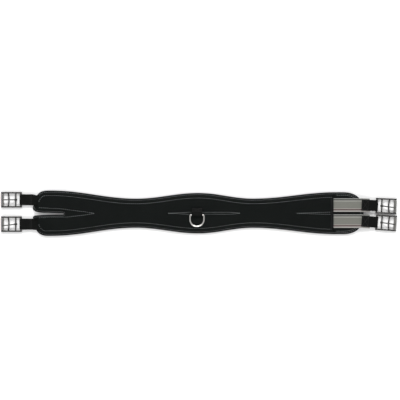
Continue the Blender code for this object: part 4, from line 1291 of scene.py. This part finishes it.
def stitches(name, lines, surface, material, body, seed, side=1,
             pitch=STITCH_PITCH, long=STITCH_LONG, thread=THREAD_RADIUS):
    """Stitches along lines of (x, y) points, laid on a surface from above or from below."""
    rng = np.random.default_rng(seed)
    count = len(STITCH_STEPS)
    number = np.arange(count * THREAD_SIDES).reshape(count, THREAD_SIDES)
    beside = np.roll(number, -1, axis=1)
    skin = np.stack([number[:-1], beside[:-1], beside[1:], number[1:]], -1).reshape(-1, 4)
    turn = np.linspace(0, 2 * math.pi, THREAD_SIDES, endpoint=False)
    rings, flats, faces = [], [], []
    for line in lines:
        at = even(line, pitch)
        for middle, ahead in zip(at[:-1] / 2 + at[1:] / 2, np.diff(at, axis=0)):
            ahead = ahead / max(np.linalg.norm(ahead), 1e-9)
            lean = rng.normal(0, 0.035)
            ahead = np.array([ahead[0] - ahead[1] * lean, ahead[1] + ahead[0] * lean])
            half = long / 2 * rng.uniform(0.93, 1.04)
            made = stitch_rings(middle, ahead, half, thread, surface, side)
            if made is None:
                continue
            base = len(rings) * number.size
            faces += (skin + base).tolist()
            faces += [(number[0, ::-1] + base).tolist(), (number[-1] + base).tolist()]
            rings.append(made.reshape(-1, 3))
            flats.append(columns((STITCH_STEPS[:, None] + 1) * half, turn * thread).reshape(-1, 2))
    return dress(new_mesh(name, np.vstack(rings), faces, np.vstack(flats)), material, body, None)


print("points in a stitch:", THREAD_SIDES * len(STITCH_STEPS))

# %% [markdown]
# ## Rows on the body
#
# The rows that show are sewn through the whole body, so the lining side has the same rows, with the
# bobbin thread. The edge row holds the binding on both faces. Each row set has a seed of its own, so
# that its stitches differ a little from one another and still come out the same every time.

# %% Rows on the body
bpy.context.view_layer.update()
body_top = surface_of(cover, flap, binding)
body_under = surface_of(lining, binding)
EDGE_LINES = inset_line(EDGE_ROW, lambda x, y: True)
CHANNEL_LINES = RIM_LINES + INNER_LINES
BODY_ROWS = {
    "edge_row": (EDGE_LINES, body_top, 3, 1),
    "channel_rows": (CHANNEL_LINES, body_top, 4, 1),
    "flap_rows": (FLAP_SEAM, body_top, 5, 1),
    "edge_row_under": (EDGE_LINES, body_under, 6, -1),
    "channel_rows_under": (CHANNEL_LINES, body_under, 7, -1),
}
for name, (lines, surface, seed, side) in BODY_ROWS.items():
    row = stitches(name, lines, surface, PALE_THREAD, "girth", seed, side)
    print(name, "points:", len(row.data.vertices))

# %% [markdown]
# ## Rows on the straps, the tabs, the hem and the chape
#
# Where webbing is folded round a buckle it carries the whole pull of the girth, so it is sewn in a box
# with a cross in it. That work is done in black thread. The hem tape has a row along both edges. The
# chape is sewn down behind the ring in a box as well.

# %% Black rows
SMALL = {"pitch": 2.6 * MM, "long": 1.9 * MM, "thread": 0.28 * MM}
BOX_HALF = 10.6 * MM
LEFT_ROW_HALF = 11.0 * MM


def box_rows(x0, x1, y0, y1):
    """The lines of a box stitch between two corners, with its cross."""
    corners = [(x0, y0), (x1, y0), (x1, y1), (x0, y1)]
    pairs = list(zip(corners, corners[1:] + corners[:1])) + [corners[::2], corners[1::2]]
    return [np.array(pair) for pair in pairs]


def turned(lines, pivot, angle):
    cos, sin = math.cos(angle), math.sin(angle)
    return [
        columns(pivot[0] + x * cos - y * sin, pivot[1] + x * sin + y * cos) for x, y in (l.T for l in lines)
    ]


hem_ends = (hem_low[1] + 1.5 * MM, hem_high[1] - 1.5 * MM)
hem_rows = [np.array([(x, y) for y in hem_ends]) for x in (hem_low[0] + 1.3 * MM, hem_high[0] - 1.3 * MM)]
stitches("hem_rows", hem_rows, surface_of(hem), BLACK_THREAD, "girth", 8, **SMALL)
chape_rows = box_rows(RING_X - BOX_HALF, RING_X + BOX_HALF, 4.8 * MM, 10.4 * MM)
stitches("chape_rows", chape_rows, surface_of(chape), BLACK_THREAD, "girth", 9, **SMALL)
for seed, (side, facts) in enumerate(RIGHT_SIDES.items(), 10):
    box = box_rows(1.6 * MM, 15.0 * MM, -BOX_HALF, BOX_HALF)
    lines = turned(box, (TAB_START, facts["middle"]), facts["yaw"])
    for way, label in ((1, "rows"), (-1, "rows_under")):
        name = f"{side}_tab_{label}"
        stitches(name, lines, surface_of(tabs[side]), BLACK_THREAD, f"{side}_right_tab", seed, way, **SMALL)
for seed, (side, (at_end, _)) in enumerate(STRAP_MOUTHS.items(), 12):
    ends = (at_end - LEFT_ROW_HALF, at_end + LEFT_ROW_HALF)
    lines = [np.array([(x, y) for y in ends]) for x in mm(-380.2, -383.4)]
    stitches(f"{side}_left_rows", lines, surface_of(left_straps[side]), BLACK_THREAD, "girth", seed, **SMALL)
print("hem rows:", len(hem_rows), "chape lines:", len(chape_rows))

# %% [markdown]
# ## Floor and light
#
# The girth lies on a pale sheet of paper under two long soft boxes and a bright room. The light comes
# mostly from the sides, so the black cloth's rolls and valleys can be read.

# %% Floor and light
BOX_SIZE = (2.2, 0.6)
SOFT_BOXES = {"far_box": ((0.0, 1.35, 1.15), 32.0), "near_box": ((0.0, -1.45, 1.25), 24.0)}
ROOM_STRENGTH = 0.60

paper, paper_tree, paper_shader = shader_of("pale_paper")
paper_use = place_group(paper_tree, HANDLING, Vector=object_place(paper_tree), Scale=0.3)
paper_color = mix_color(paper_tree, paper_use["Mottle"], (0.88, 0.88, 0.88), (0.90, 0.90, 0.90))
paper_tree.links.new(paper_color, paper_shader.inputs["Base Color"])
paper_shader.inputs["Roughness"].default_value = 0.9
bpy.ops.mesh.primitive_plane_add(size=6.0)
floor = bpy.context.object
floor.name = "floor"
floor.data.materials.append(paper)

for name, (place, watts) in SOFT_BOXES.items():
    light = add_piece(name, bpy.data.lights.new(name, "AREA"))
    light.data.shape = "RECTANGLE"
    light.data.size, light.data.size_y = BOX_SIZE
    light.data.energy = watts
    light.location = place
    light.rotation_euler = (-Vector(place)).to_track_quat("-Z", "Y").to_euler()
world = bpy.data.worlds.new("bright_room")
bpy.context.scene.world = world
world.use_nodes = True
room = world.node_tree.nodes["Background"].inputs
room["Color"].default_value = (1.0, 1.0, 1.0, 1.0)
room["Strength"].default_value = ROOM_STRENGTH
bpy.context.scene.view_settings.view_transform = "Standard"
print("lights:", list(SOFT_BOXES))
